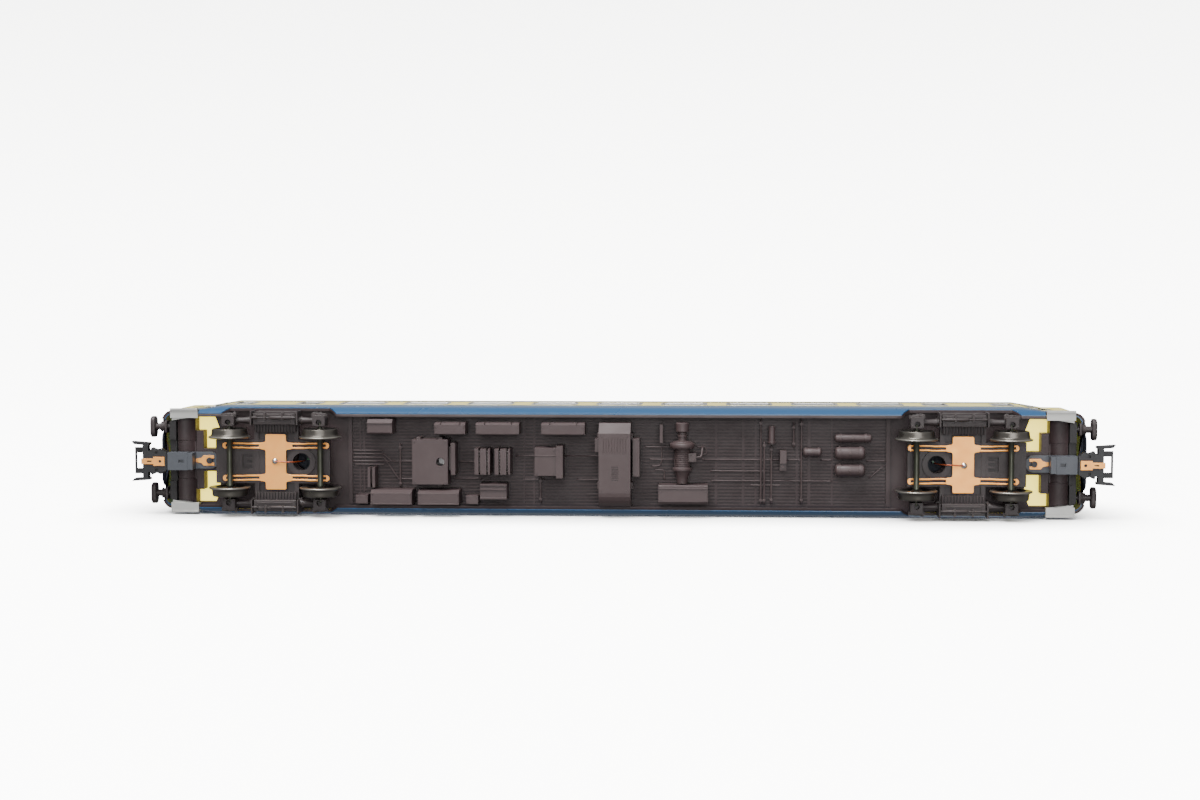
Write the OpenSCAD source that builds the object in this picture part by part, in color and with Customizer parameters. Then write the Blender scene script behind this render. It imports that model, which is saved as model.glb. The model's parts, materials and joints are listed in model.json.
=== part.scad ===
// H0 gauge model of a compartment coach on two swivelling bogies.
// X runs along the coach, Y across it and Z up. Z = 0 is the bottom of the wheel flanges.
// End a is at -X and end b at +X. All lengths are in millimetres.

/* [Coach] */
// Length over the buffer faces
coach_len = 282; // [276:1:340]
// Width across the side walls
coach_w = 32.4; // [32:0.2:40]
// Height of the side walls, from the underside of the floor to the eaves
side_h = 23.5; // [23:0.5:30]
// Rise of the roof above the eaves
roof_rise = 8.6; // [7:0.2:11]
// Wall thickness of the body and the roof
wall = 1.1; // [0.9:0.1:1.4]
// Distance from a bogie pivot to the buffer faces
overhang = 39.4; // [39:0.1:48]

/* [Windows] */
// Distance between two large windows, centre to centre
window_pitch = 19.82; // [17:0.02:20]
// Length of a large window
window_w = 13.4; // [8:0.1:15]
// Height of all windows
window_h = 10.2; // [7:0.1:12]
// Height of the window sills above the underside of the floor
sill_h = 9.5; // [9:0.1:12]
// Corner radius of the windows
window_r = 1.2; // [0.4:0.1:1.8]

/* [Bogies] */
// Distance between the two axles of a bogie
wheelbase = 27.3; // [26:0.1:33]
// Diameter of the wheel treads
tread_d = 10.5; // [9.6:0.1:12.6]
// Height of the wheel flanges
flange_h = 1.0; // [0.6:0.1:1.2]
// Distance between the backs of the two wheels of an axle
back_to_back = 14.4; // [14:0.1:14.8]
// Width of a wheel over tread and flange
wheel_w = 2.9; // [2.5:0.1:3.5]
// Diameter of the axles
axle_d = 1.7; // [1.5:0.1:2.1]
// Diameter of the journals at the ends of the axles
journal_d = 1.0; // [0.8:0.1:1.2]
// Diameter of the pivot pins
pivot_d = 4.0; // [3.3:0.1:4.8]

/* [Couplers] */
// Height of the coupler head's centre above the rail
coupler_h = 8.0; // [7.6:0.1:8.4]
// Diameter of the pin that each coupler swings on
coupler_pin_d = 1.8; // [1.5:0.1:2.2]
// How far the pin slides out in its slot
slide_travel = 2.0; // [1.6:0.1:2.4]
// Width of the coupler pocket
pocket_w = 5.3; // [4.6:0.1:6.4]

/* [Buffers] */
// Distance between the two buffers of an end, centre to centre
buffer_pitch = 20.1; // [19:0.1:21]
// Width of a buffer head
buffer_w = 6.4; // [5:0.1:6.8]

/* [Hidden] */
$fn = 48;

// Clearances
run_gap = 0.05;      // radial gap of a running fit
fit_gap = 0.1;       // gap between pieces that are clipped together
move_gap = 0.3;      // gap between pieces that move past each other
eps = 0.01;          // overshoot of a cut

// Levels
flange_r = tread_d / 2 + flange_h;
axle_z = flange_r;
floor_z = 2 * flange_r + 3.0;
slab_t = 1.5;
slab_top = floor_z + slab_t;
eaves_z = floor_z + side_h;
skirt_z = floor_z - 4.5;
shallow_z = floor_z - 2.0;
sill_z = floor_z + sill_h;
buffer_z = floor_z - 2.3;

// Places along the coach
pivot_x = coach_len / 2 - overhang;
body_end = coach_len / 2 - 4.0;
taper_x = body_end - 17.0;
taper = 2.3;
bay_x = pivot_x - 21.1;       // half length of the ribbed bay between the bogies
outer_skirt = [17.4, 24.4];   // deep skirt outside a bogie, measured from its pivot
half_w = coach_w / 2;

// Side wall curve below the floor
tuck_in = 1.8;
tuck_h = 4.2;
tuck_r = (tuck_in * tuck_in + tuck_h * tuck_h) / (2 * tuck_in);

// Windows: centre and length of each, on the +X half
large_windows = [for (i = [0:4]) [i * window_pitch, window_w]];
small_windows = [[pivot_x - 5.8, 6.9], [pivot_x + 14.4, 6.1]];
door_window = [pivot_x + 26.1, 7.3];
half_windows = concat(large_windows, small_windows, [door_window]);

// ---------------------------------------------------------------- helpers

// Child placed in the frame of a bogie: origin on the pivot axis, +X towards the buffers.
module at_end(end) {
    if (end == "a") translate([-pivot_x, 0, 0]) rotate([0, 0, 180]) children();
    else translate([pivot_x, 0, 0]) children();
}

// Child and its copy mirrored across the coach.
module both_sides() {
    children();
    mirror([0, 1, 0]) children();
}

// Block between two corners.
module block(low, high) {
    translate(low) cube(high - low);
}

// Flat outline in the XY plane with round corners, centred.
module round_rect(size, r) {
    square([size.x - 2 * r, size.y], center = true);
    square([size.x, size.y - 2 * r], center = true);
    for (x = [-1, 1], y = [-1, 1]) {
        translate([x * (size.x / 2 - r), y * (size.y / 2 - r)]) circle(r);
    }
}

// Extrudes a (y, z) outline along X from x0 to x1.
module along_x(x0, x1) {
    translate([x0, 0, 0]) rotate([90, 0, 90]) linear_extrude(x1 - x0) children();
}

// Cylinder between x0 and x1 along X.
module rod_x(x0, x1, y, z, r) {
    translate([x0, y, z]) rotate([0, 90, 0]) cylinder(h = x1 - x0, r = r);
}

// Cylinder between y0 and y1 along Y.
module rod_y(x, y0, y1, z, r) {
    translate([x, y1, z]) rotate([90, 0, 0]) cylinder(h = y1 - y0, r = r);
}

// Points of the curved lower side wall, from the skirt up, moved in by inset.
function side_points(inset) = [
    for (i = [0:6])
        let (t = -asin(tuck_h / tuck_r) * (1 - i / 6))
        [half_w - tuck_r + (tuck_r - inset) * cos(t), skirt_z + tuck_h + (tuck_r - inset) * sin(t)]
];

// Cross-section of the body, closed straight across at the top and at the bottom.
module section(inset, bottom, top) {
    side = side_points(inset);
    right = concat([[side[0].x, bottom]], side, [[half_w - inset, top]]);
    left = [for (i = [len(right) - 1:-1:0]) [-right[i].x, right[i].y]];
    polygon(concat(right, left));
}

// Plan of the body, tapered towards its ends, moved in by inset.
module plan(inset) {
    corner = 2.5 - inset;
    end_w = half_w - taper - inset;
    end_x = body_end - inset;
    quarter = concat(
        [[taper_x, half_w - inset]],
        [for (i = [0:6]) [end_x - corner + corner * sin(15 * i), end_w - corner + corner * cos(15 * i)]]
    );
    back = [for (i = [len(quarter) - 1:-1:0]) [quarter[i].x, -quarter[i].y]];
    front = concat(quarter, back);
    polygon(concat(front, [for (p = front) [-p.x, -p.y]]));
}

// Solid of the plan between two heights.
module plan_solid(inset, z0, z1) {
    translate([0, 0, z0]) linear_extrude(z1 - z0) plan(inset);
}

// All window openings of both sides, cut right through, each smaller by inset all round.
module window_cuts(inset) {
    for (w = half_windows, side = [-1, 1]) {
        translate([side * w[0], 0, sill_z + window_h / 2])
            rotate([90, 0, 0])
                linear_extrude(2 * half_w + 2, center = true)
                    round_rect([w[1] - 2 * inset, window_h - 2 * inset], window_r);
    }
}

// ---------------------------------------------------------------- body

module body_shell() {
    end_z = floor_z - 0.3;
    color("steelblue") difference() {
        intersection() {
            along_x(-body_end, body_end) section(0, skirt_z, eaves_z);
            plan_solid(0, skirt_z, eaves_z);
        }
        intersection() {
            along_x(-body_end, body_end) section(wall, skirt_z - 1, eaves_z + 1);
            plan_solid(wall, skirt_z - 1, eaves_z + 1);
        }
        window_cuts(0);
        for (end = ["a", "b"]) at_end(end) body_end_cuts(end_z);
        end_doors();
    }
}

// Cuts that shorten the skirt over a bogie and open the body's end, in a bogie's frame.
module body_end_cuts(end_z) {
    slope = shallow_z - skirt_z;
    rotate([90, 0, 0]) linear_extrude(2 * half_w + 2, center = true) polygon([
        [-17.6, skirt_z - 1], [-17.6, skirt_z], [-17.6 + slope, shallow_z],
        [outer_skirt[0] - slope, shallow_z], [outer_skirt[0], skirt_z], [outer_skirt[0], skirt_z - 1]
    ]);
    block([outer_skirt[1], -half_w - 1, skirt_z - 1], [overhang, half_w + 1, floor_z - 1.5]);
    block([overhang - 4 - wall - 0.2, -12.1, skirt_z - 1], [overhang, 12.1, end_z]);
}

// Shallow recess of the door in each end wall.
module end_doors() {
    for (side = [-1, 1]) {
        translate([side * body_end, 0, floor_z + 11.5])
            cube([0.7, 9.6, 20], center = true);
    }
}

// Roof height above the eaves at the fraction t of its half width.
function roof_curve(t) = pow(1 - pow(t, 2.5), 1 / 2.2);

// Cross-section of the roof, moved in by inset and closed at the eaves.
module roof_section(inset, bottom) {
    steps = 16;
    w = half_w - inset;
    h = roof_rise - inset;
    right = [for (i = [0:steps]) let (t = sin(90 * i / steps)) [w * t, eaves_z + h * roof_curve(t)]];
    left = [for (i = [steps:-1:1]) [-right[i].x, right[i].y]];
    polygon(concat(left, right, [[w, bottom], [-w, bottom]]));
}

module roof() {
    color("gray") {
        difference() {
            intersection() {
                along_x(-body_end, body_end) roof_section(0, eaves_z);
                plan_solid(0, eaves_z, eaves_z + roof_rise + 1);
            }
            intersection() {
                along_x(-body_end, body_end) roof_section(wall, eaves_z - 1);
                plan_solid(wall, eaves_z - 1, eaves_z + roof_rise + 1);
            }
        }
        // Tabs that clip inside the side walls
        for (x = [-taper_x + 8 : (taper_x - 8) / 2 : taper_x - 8]) {
            both_sides() {
                block([x - 4, half_w - wall - 0.95, eaves_z - 2], [x + 4, half_w - wall - fit_gap, eaves_z + 0.8]);
                block([x - 4, half_w - wall - 0.95, eaves_z], [x + 4, half_w - wall + 0.4, eaves_z + 0.8]);
            }
        }
    }
}

// Clear strip behind the windows of the side that lies on +Y, with a pane in each opening.
module glazing() {
    pane_t = 0.8;
    strip_z = [sill_z - 1, sill_z + window_h + 1.2];
    difference() {
        union() {
            plan_solid(wall + fit_gap, strip_z[0], strip_z[1]);
            intersection() {
                plan_solid(0.15, strip_z[0], strip_z[1]);
                window_cuts(fit_gap);
            }
        }
        plan_solid(wall + fit_gap + pane_t, strip_z[0] - 1, strip_z[1] + 1);
        block([-coach_len / 2, -half_w, 0], [coach_len / 2, 10, strip_z[1] + 1]);
        for (side = [-1, 1]) {
            translate([side * (body_end - 2.6), 0, 0]) block([-3, 0, 0], [3, half_w, strip_z[1] + 1]);
        }
    }
}

module glazing_left() {
    color("lightcyan") glazing();
}

module glazing_right() {
    color("lightcyan") mirror([0, 1, 0]) glazing();
}

// ---------------------------------------------------------------- interior

ballast_t = 1.2;
interior_z = slab_top + ballast_t + 0.2;
interior_t = 1.0;
seat_z = interior_z + interior_t;
corridor_y = -7.4;
partition_t = 0.6;
seat_half = window_pitch * 4.5;      // half length of the row of nine compartments
ceiling_z = eaves_z - 0.6;

module ballast_plate() {
    color("dimgray") difference() {
        block([-bay_x, -12, slab_top], [bay_x, 12, slab_top + ballast_t]);
        translate([screw_at.x, screw_at.y, slab_top - eps]) cylinder(h = ballast_t + 1, r = 1.4);
    }
}

module interior_floor() {
    color("khaki") difference() {
        intersection() {
            plan_solid(wall + fit_gap, interior_z, interior_z + interior_t);
            block([-body_end + 1.8, -half_w, interior_z], [body_end - 1.8, half_w, seat_z]);
        }
        for (end = ["a", "b"]) at_end(end) {
            translate([wire_hole_x, 0, interior_z - 1]) cylinder(h = 4, r = 3.2);
        }
    }
    // Feet that rest on the underframe beside the ballast plate
    color("khaki") for (x = [-0.9, -0.45, 0, 0.45, 0.9]) {
        both_sides() block([x * bay_x - 3, 12.6, slab_top], [x * bay_x + 3, 14, interior_z + 0.5]);
    }
}

// Walls between the compartments, and the corridor wall with a doorway to each of them.
module compartment_walls() {
    y_out = half_w - wall - 1.3;
    color("burlywood") difference() {
        union() {
            for (i = [0:9]) {
                x = -seat_half + i * window_pitch;
                block([x - partition_t / 2, corridor_y, seat_z], [x + partition_t / 2, y_out, ceiling_z - 1]);
            }
            block([-seat_half, corridor_y, seat_z],
                  [seat_half, corridor_y + partition_t, ceiling_z - 1]);
            // Cross walls of the washrooms and the vestibules
            for (side = [-1, 1]) {
                x = side * (pivot_x + 9);
                block([x - partition_t / 2, -y_out, seat_z], [x + partition_t / 2, y_out, ceiling_z - 1]);
            }
        }
        for (i = [0:8]) {
            x = -seat_half + (i + 0.5) * window_pitch;
            block([x - 3.2, corridor_y - 1, seat_z + 0.8], [x + 3.2, corridor_y + 1, seat_z + 13.5]);
        }
        for (side = [-1, 1]) {
            x = side * (pivot_x + 9);
            block([x - 1, -4, seat_z + 0.8], [x + 1, 4, seat_z + 13.5]);
        }
    }
}

// One bench of three seats with its back at x = 0, facing +X.
module bench(y0, y1) {
    seat_w = (y1 - y0) / 3;
    block([0, y0, 0], [5.2, y1, 3.2]);
    block([0, y0, 3.2], [1.5, y1, 9.2]);
    for (i = [0:3]) {
        y = y0 + i * seat_w;
        block([0, max(y0, y - 0.35), 3.2], [4.6, min(y1, y + 0.35), 5.4]);
    }
}

module seats() {
    y0 = corridor_y + partition_t + 0.3;
    y1 = half_w - wall - 1.5;
    color("firebrick") for (i = [0:8]) {
        x = -seat_half + i * window_pitch + partition_t / 2 + 0.2;
        translate([x, 0, seat_z]) bench(y0, y1);
        translate([x + window_pitch - partition_t - 0.4, 0, seat_z]) mirror([1, 0, 0]) bench(y0, y1);
    }
}

// Circuit board with its lamps under the roof, and the leads that come up to it from the bogies.
module lighting_board() {
    board_x = pivot_x - 4;
    lead_r = 0.35;
    color("seagreen") block([-board_x, -4.5, ceiling_z], [board_x, 4.5, ceiling_z + 0.8]);
    color("ivory") for (i = [0:8]) {
        x = (i - 4) * window_pitch;
        block([x - 1.4, -1.2, ceiling_z - 0.7], [x + 1.4, 1.2, ceiling_z]);
    }
    color("sienna") for (side = [-1, 1]) {
        x = side * (pivot_x + wire_hole_x);
        translate([x, 0, slab_top]) cylinder(h = ceiling_z - slab_top, r = lead_r);
    }
}

// ---------------------------------------------------------------- underframe

rib_h = 0.4;
rib_w = 0.45;
rib_pitch = 1.0;
hang_z = floor_z - rib_h;         // level that the equipment hangs from
wire_hole_x = -7.6;
screw_at = [-52.3, -0.1];
boss_r = 3.6;
lead_ring_r = -wire_hole_x - boss_r - 0.2;
bearer_x = [25.7, 31.2];          // bearer behind the headstock, measured from the bogie pivot
boss_z = axle_z + 5.1;            // underside of the pivot boss of the underframe
arm_top = floor_z - 2.7;
arm_t = 1.6;
tongue_z = arm_top + move_gap;
pin_x = 21.0;                     // coupler pin, measured from the bogie pivot
window_x = [19.2, 25.7];          // opening in the floor above the coupler arm

// Cross members under the floor: place along X and width
cross_members = [
    [-77.6, 0.5], [-76.4, 0.5], [-27.9, 0.4], [-24.9, 0.5], [29.6, 0.7], [37.7, 0.7], [41.4, 0.6],
    [53.6, 0.6], [57.2, 0.9], [64.0, 0.5]
];

// Pipes under the ribs, along X: start, end, place across and radius
long_pipes = [
    [-79.7, -71, -2.9, 0.22], [-79.7, -70.4, -1.9, 0.25], [-79.7, -70.2, -0.8, 0.25], [-79.7, -60.7, 0.3, 0.25],
    [-79, -70.4, 1.3, 0.22], [-66, -60.7, 5.6, 0.25], [-47.8, -42, 0.3, 0.22],
    [-49, -41, 5.4, 0.22], [-30, -24.1, -1.5, 0.25], [-28, -22, 5.6, 0.25], [-15.7, -5, -1.5, 0.25],
    [-12, -5, 5.6, 0.25], [8.6, 16.4, -4.3, 0.2], [10, 17, -0.6, 0.22], [11.5, 16.5, 2.6, 0.22],
    [25.6, 48.4, -0.6, 0.25], [50.5, 55, -0.6, 0.25], [28, 45, 2.8, 0.22], [28.4, 64, 5.7, 0.25], [40, 48.6, 7.0, 0.25],
    [74.2, 79.7, -0.4, 0.2], [60.9, 64, -0.6, 0.22]
];

// Pipes under the ribs, along Y: place along X, start, end and radius
cross_pipes = [
    [42.9, -12.6, 12.6, 0.25], [43.9, -6, 12.6, 0.25], [46.0, -4.8, 12.4, 0.3], [52.6, -11.4, -4.4, 0.25],
    [54.9, -12.4, 12.4, 0.25], [13.6, -4.3, 5.4, 0.22], [-22.9, 4.9, 12.6, 0.3], [-65.3, -5, 8, 0.2]
];

// Short thin pipes that run askew: start point and end point
skew_r = 0.18;
skew_pipes = [
    [[-70.3, -0.8], [-65.9, 5.6]], [[-70.5, -1.9], [-67.8, 0.3]], [[74.9, 4.8], [78.9, 1.4]]
];

module pipe_between(p, q, r, z) {
    d = q - p;
    translate([p.x, p.y, z]) rotate([0, 0, atan2(d.y, d.x)]) rod_x(0, norm(d), 0, 0, r);
}

module underframe() {
    color("dimgray") difference() {
        union() {
            intersection() {
                plan_solid(wall + fit_gap, floor_z, slab_top);
                block([-body_end + wall + 0.2, -half_w, floor_z], [body_end - wall - 0.2, half_w, slab_top]);
            }
            floor_ribs();
        }
        for (end = ["a", "b"]) at_end(end) end_openings();
        translate([screw_at.x, screw_at.y, 0]) cylinder(h = slab_top + 1, r = 0.85);
    }
}

// Fine ribs along the floor between the bogies, with the cross members.
module floor_ribs() {
    count = 13;
    edge = count * rib_pitch + rib_w / 2;
    along_x(-bay_x, bay_x) polygon(concat(
        [for (i = [-count:count], k = [0:3])
            [i * rib_pitch + (k < 2 ? -1 : 1) * rib_w / 2, k == 0 || k == 3 ? floor_z : hang_z]],
        [[edge, floor_z + 0.2], [-edge, floor_z + 0.2]]
    ));
    for (m = cross_members) {
        block([m[0] - m[1] / 2, -edge, hang_z], [m[0] + m[1] / 2, edge, floor_z + 0.2]);
    }
    for (side = [-1, 1]) {
        block([side * bay_x - 0.6, -edge, floor_z - 0.9], [side * bay_x + 0.6, edge, floor_z + 0.2]);
    }
}

// Pipes along the floor just under the ribs, with the cross pipes one layer lower.
module pipework() {
    color("dimgray") {
        for (p = long_pipes) rod_x(p[0], p[1], p[2], hang_z - p[3], p[3]);
        for (p = skew_pipes) pipe_between(p[0], p[1], skew_r, hang_z - 0.25);
        for (p = cross_pipes) rod_y(p[0], p[1], p[2], hang_z - 0.55 - p[3], p[3]);
        // Saddles that hold the cross pipes
        for (p = cross_pipes) {
            block([p[0] - 0.3, p[1] + 0.8, hang_z - 0.55 - p[3]], [p[0] + 0.3, p[1] + 1.4, hang_z]);
            block([p[0] - 0.3, p[2] - 1.4, hang_z - 0.55 - p[3]], [p[0] + 0.3, p[2] - 0.8, hang_z]);
        }
    }
}

// Pivot bosses, lead rings, coupler guides and bearers, set against the underside of the floor.
module end_framing() {
    color("dimgray") intersection() {
        for (end = ["a", "b"]) at_end(end) difference() {
            union() {
                translate([0, 0, boss_z]) cylinder(h = floor_z - boss_z, r = boss_r);
                translate([wire_hole_x, 0, floor_z - 1.2]) cylinder(h = 1.2, r = lead_ring_r);
                // Tongue and guide bar of the coupler pin
                block([17.8, -3.4, tongue_z], [23.5, 3.4, floor_z]);
                block([23.4, -8.9, tongue_z], [bearer_x[0] - fit_gap, 8.9, floor_z]);
                bearer();
            }
            end_openings();
        }
        plan_solid(wall + 0.9, 0, floor_z);
    }
}

// Bearer behind a headstock, hollowed like a trough: a low piece on each side and a high one over the coupler.
module bearer() {
    difference() {
        union() {
            both_sides() block([bearer_x[0], 5.8, floor_z - 3.0], [bearer_x[1], 13.1, floor_z]);
            block([bearer_x[0], -5.8 + fit_gap, tongue_z], [bearer_x[1], 5.8 - fit_gap, floor_z]);
        }
        rod_y(28.6, -14, 14, floor_z - 5.0, 3.6);
    }
}

// Openings of one end: pivot bore, lead hole, floor window and the slot of the coupler pin.
module end_openings() {
    translate([0, 0, boss_z - 1]) cylinder(h = slab_top, r = pivot_d / 2 + run_gap);
    translate([wire_hole_x, 0, floor_z - 2]) cylinder(h = slab_t + 4, r = 3.0);
    for (side = [-1, 1]) {
        translate([0, 0, floor_z - 4]) linear_extrude(slab_t + 6) polygon([
            [window_x[0], side * 3.4], [window_x[0] - 0.2, side * 9.2], [window_x[0] + 1.2, side * 12.9],
            [window_x[1], side * 12.9], [window_x[1], side * 8.9], [23.4, side * 8.9], [23.4, side * 3.4]
        ]);
    }
    slot_w = coupler_pin_d / 2 + run_gap;
    for (x = [pin_x, pin_x + slide_travel]) {
        translate([x, 0, tongue_z - 1]) cylinder(h = slab_top - tongue_z + 2, r = slot_w);
    }
    block([pin_x, -slot_w, tongue_z - 1], [pin_x + slide_travel, slot_w, slab_top + 1]);
}

headstock_x = [overhang - 8.0, overhang - 5.2];
buffer_y = buffer_pitch / 2;
stub_r = 0.8;

module headstocks() {
    color("dimgray") intersection() {
        for (end = ["a", "b"]) at_end(end) difference() {
            block([headstock_x[0], -half_w, floor_z - 3.9], [headstock_x[1], half_w, floor_z]);
            both_sides() rod_x(headstock_x[0] + 0.6, headstock_x[1] + 1, buffer_y, buffer_z, stub_r + run_gap);
            // Cut-away above the coupler head
            block([headstock_x[0] - 1, -6.2, 0], [headstock_x[1] + 1, 6.2, floor_z - 3.0]);
        }
        plan_solid(wall + 0.9, 0, floor_z);
    }
}

// One buffer: stub in the headstock, foot plate, sleeve, shank and flattened round head.
module buffer() {
    x0 = headstock_x[1];
    rod_x(x0 - 1.8, x0 + 0.1, 0, 0, stub_r);
    block([x0, -1.9, -1.9], [x0 + 0.5, 1.9, 1.5]);
    rod_x(x0 + 0.5, x0 + 2.0, 0, 0, 1.45);
    rod_x(x0 + 2.0, overhang - 1.3, 0, 0, 1.05);
    intersection() {
        rod_x(overhang - 1.5, overhang, 0, 0, buffer_w / 2);
        block([overhang - 2, -buffer_w, -1.95], [overhang + 1, buffer_w, 1.95]);
    }
}

module buffers() {
    color("dimgray") for (end = ["a", "b"]) at_end(end) {
        both_sides() translate([0, buffer_y, buffer_z]) buffer();
    }
}

gangway_w = 17.4;
gangway_z = [floor_z + 0.6, eaves_z + 2.4];
gangway_t = 1.9;
gangway_depth = 2.0;

// Rubber frame around the end door, on a thinner back plate.
module gangway() {
    h = gangway_z[1] - gangway_z[0];
    translate([overhang - 4.0, 0, (gangway_z[0] + gangway_z[1]) / 2]) rotate([90, 0, 90]) {
        difference() {
            linear_extrude(gangway_depth) round_rect([gangway_w, h], 3);
            translate([0, 0, -1]) linear_extrude(gangway_depth + 2)
                round_rect([gangway_w - 2 * gangway_t, h - 2 * gangway_t], 1.6);
        }
    }
}

module gangway_a() {
    color("midnightblue") at_end("a") gangway();
}

module gangway_b() {
    color("midnightblue") at_end("b") gangway();
}

// Foot plates under the four entrance doors, hung from the floor by a web.
module door_steps() {
    x = [outer_skirt[1] + 0.2, outer_skirt[1] + 8.6];
    color("lightgray") {
        intersection() {
            for (end = ["a", "b"]) at_end(end) both_sides() {
                block([x[0] + 0.4, 8, floor_z - 4.2], [x[1] - 0.4, half_w, floor_z]);
            }
            difference() {
                plan_solid(wall + 0.15, 0, floor_z);
                plan_solid(wall + 0.8, -1, floor_z + 1);
            }
        }
        for (end = ["a", "b"]) at_end(end) both_sides() {
            block([x[0], half_w - 3.4, floor_z - 4.4], [x[1], half_w - 0.5, floor_z - 3.4]);
            block([x[0], half_w - 1.1, floor_z - 4.8], [x[1], half_w - 0.5, floor_z - 4.3]);
        }
    }
}

// ---------------------------------------------------------------- underfloor equipment

// Box that hangs from the ribs: x and y limits and the depth below the floor.
module hung_box(x, y, depth) {
    block([x[0], y[0], floor_z - depth], [x[1], y[1], hang_z]);
}

// The same with bevelled lower edges along X, at the low and the high y side.
module bevelled_box(x, y, depth, low_bevel, high_bevel) {
    zb = floor_z - depth;
    along_x(x[0], x[1]) polygon([
        [y[0], hang_z], [y[0], zb + low_bevel.y], [y[0] + low_bevel.x, zb],
        [y[1] - high_bevel.x, zb], [y[1], zb + high_bevel.y], [y[1], hang_z]
    ]);
}

module transformer_box() {
    color("dimgray") difference() {
        union() {
            hung_box([-60.7, -50.0], [-6.8, 6.6], 7.5);
            hung_box([-49.3, -47.9], [-5.7, 3.8], 6.5);
            block([-50.1, -4.5, floor_z - 5], [-49.2, 2.6, hang_z]);
            for (x = [-59.4, -52.9]) hung_box([x, x + 1.1], [-7.4, -6.7], 6.6);
            hung_box([-53.0, -51.9], [6.5, 7.0], 6.6);
        }
        translate([screw_at.x, screw_at.y, 0]) cylinder(h = floor_z, r = 1.25);
    }
}

module body_screw() {
    head_z = floor_z - 2.2;
    color("silver") translate([screw_at.x, screw_at.y, 0]) difference() {
        union() {
            translate([0, 0, head_z]) cylinder(h = hang_z - head_z, r = 1.15);
            translate([0, 0, floor_z - 1]) cylinder(h = slab_t + 1.6, r = 0.8);
        }
        block([-1.5, -0.15, head_z - 1], [1.5, 0.15, head_z + 0.5]);
        block([-0.15, -1.5, head_z - 1], [0.15, 1.5, head_z + 0.5]);
    }
}

module battery_boxes() {
    color("dimgray") for (x = [[-73.1, -60.8], [-58.9, -46.7]]) {
        bevelled_box(x, [8.3, 12.7], 8.2, [0.9, 1.6], [0.3, 0.3]);
        block([x[0], 12.2, floor_z - 8.5], [x[1], 12.55, floor_z - 8]);
        // Lid seam and two latches on the outer face
        for (f = [0.25, 0.75]) {
            xl = x[0] + f * (x[1] - x[0]);
            block([xl - 0.5, 12.6, floor_z - 5.4], [xl + 0.5, 12.95, floor_z - 4.2]);
        }
    }
}

module junction_boxes() {
    color("dimgray") {
        for (x = [-78.1, -44.8]) {
            hung_box([x, x + 3.6], [10.1, 12.6], 5.5);
            block([x + 0.3, 12.5, floor_z - 4.6], [x + 3.3, 12.8, floor_z - 2.4]);
        }
        hung_box([5.0, 7.0], [-7.2, 4.0], 7.0);
        hung_box([12.9, 13.8], [-11.3, -5.7], 3.6);
    }
}

module louvre_boxes() {
    color("dimgray") {
        // Box with vanes across it
        hung_box([-74.5, -73.7], [1.9, 7.8], 5.2);
        hung_box([-73.0, -72.2], [1.7, 7.8], 5.8);
        block([-73.9, 2.2, floor_z - 3.4], [-72.8, 7.2, hang_z]);
        // Box with slats along it
        hung_box([-40.4, -32.5], [6.4, 11.0], 7.2);
        for (y = [6.4, 7.7, 10.4]) {
            block([-40.4, y, floor_z - 7.6], [-32.5, y + 0.5, floor_z - 7.1]);
        }
    }
}

module equipment_lockers() {
    // Locker with a ridge along it
    color("dimgray") {
        bevelled_box([-74.2, -66.7], [-12.7, -8.4], 7.2, [0.9, 1.2], [0.4, 0.4]);
        block([-74.2, -11.75, floor_z - 7.45], [-66.7, -11.45, floor_z - 7.0]);
    }
    color("dimgray") for (x = [[-54.0, -44.8], [-41.6, -28.7], [-22.1, -9.2]]) {
        difference() {
            bevelled_box(x, [-11.8, -8.3], 7.4, [0.5, 0.9], [0.2, 0.2]);
            // Two door gaps down the outer face
            for (f = [0.2, 0.82]) {
                xg = x[0] + f * (x[1] - x[0]);
                block([xg - 0.12, -12, 0], [xg + 0.12, -11.1, hang_z + 1]);
            }
        }
        block([x[0] + 0.4, -11.95, floor_z - 3.2], [x[1] - 0.4, -11.7, floor_z - 2.8]);
    }
}

// Two stacks of three plates on a narrow core.
module resistor_packs() {
    color("dimgray") for (x = [-42.0, -36.0]) {
        hung_box([x + 0.2, x + 4.3], [-3.3, 2.8], 6.4);
        for (p = [[0, 1.2], [1.7, 3.5], [4.0, 4.6]]) {
            hung_box([x + p[0], x + p[1]], [-4.1, 3.6], 7.6);
        }
    }
}

module converter_box() {
    color("dimgray") {
        hung_box([-24.1, -17.6], [-4.4, 3.9], 7.0);
        hung_box([-17.7, -15.7], [-5.0, 4.6], 7.7);
        block([-24.1, -2.2, floor_z - 7.15], [-17.6, -1.9, floor_z - 6.9]);
    }
}

// Cross-section of the air conditioning unit: bevelled towards -Y, rounded towards +Y.
module ac_section(inset) {
    zb = floor_z - 9.0 + inset;
    r = 4.4 - inset;
    cy = 8.8;
    polygon(concat(
        [[-11.8 + inset, hang_z], [-11.8 + inset, zb + 2.9], [-8.9 + inset, zb]],
        [for (i = [0:6]) [cy + r * sin(15 * i), zb + r - r * cos(15 * i)]],
        [[cy + r, hang_z]]
    ));
}

module ac_unit() {
    color("dimgray") difference() {
        union() {
            along_x(-5.0, 4.4) ac_section(0);
            hung_box([-6.2, -4.9], [-7.2, -3.2], 6.8);
            for (y = [-8.6, 6.0]) hung_box([-5.7, 4.9], [y, y + 2], 4.6);
        }
        // Air slats in the flat underside
        for (i = [0:7]) {
            y = 1.0 + i * 0.55;
            block([-1.2, y, floor_z - 10], [0.8, y + 0.22, floor_z - 8.7]);
        }
    }
}

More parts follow.
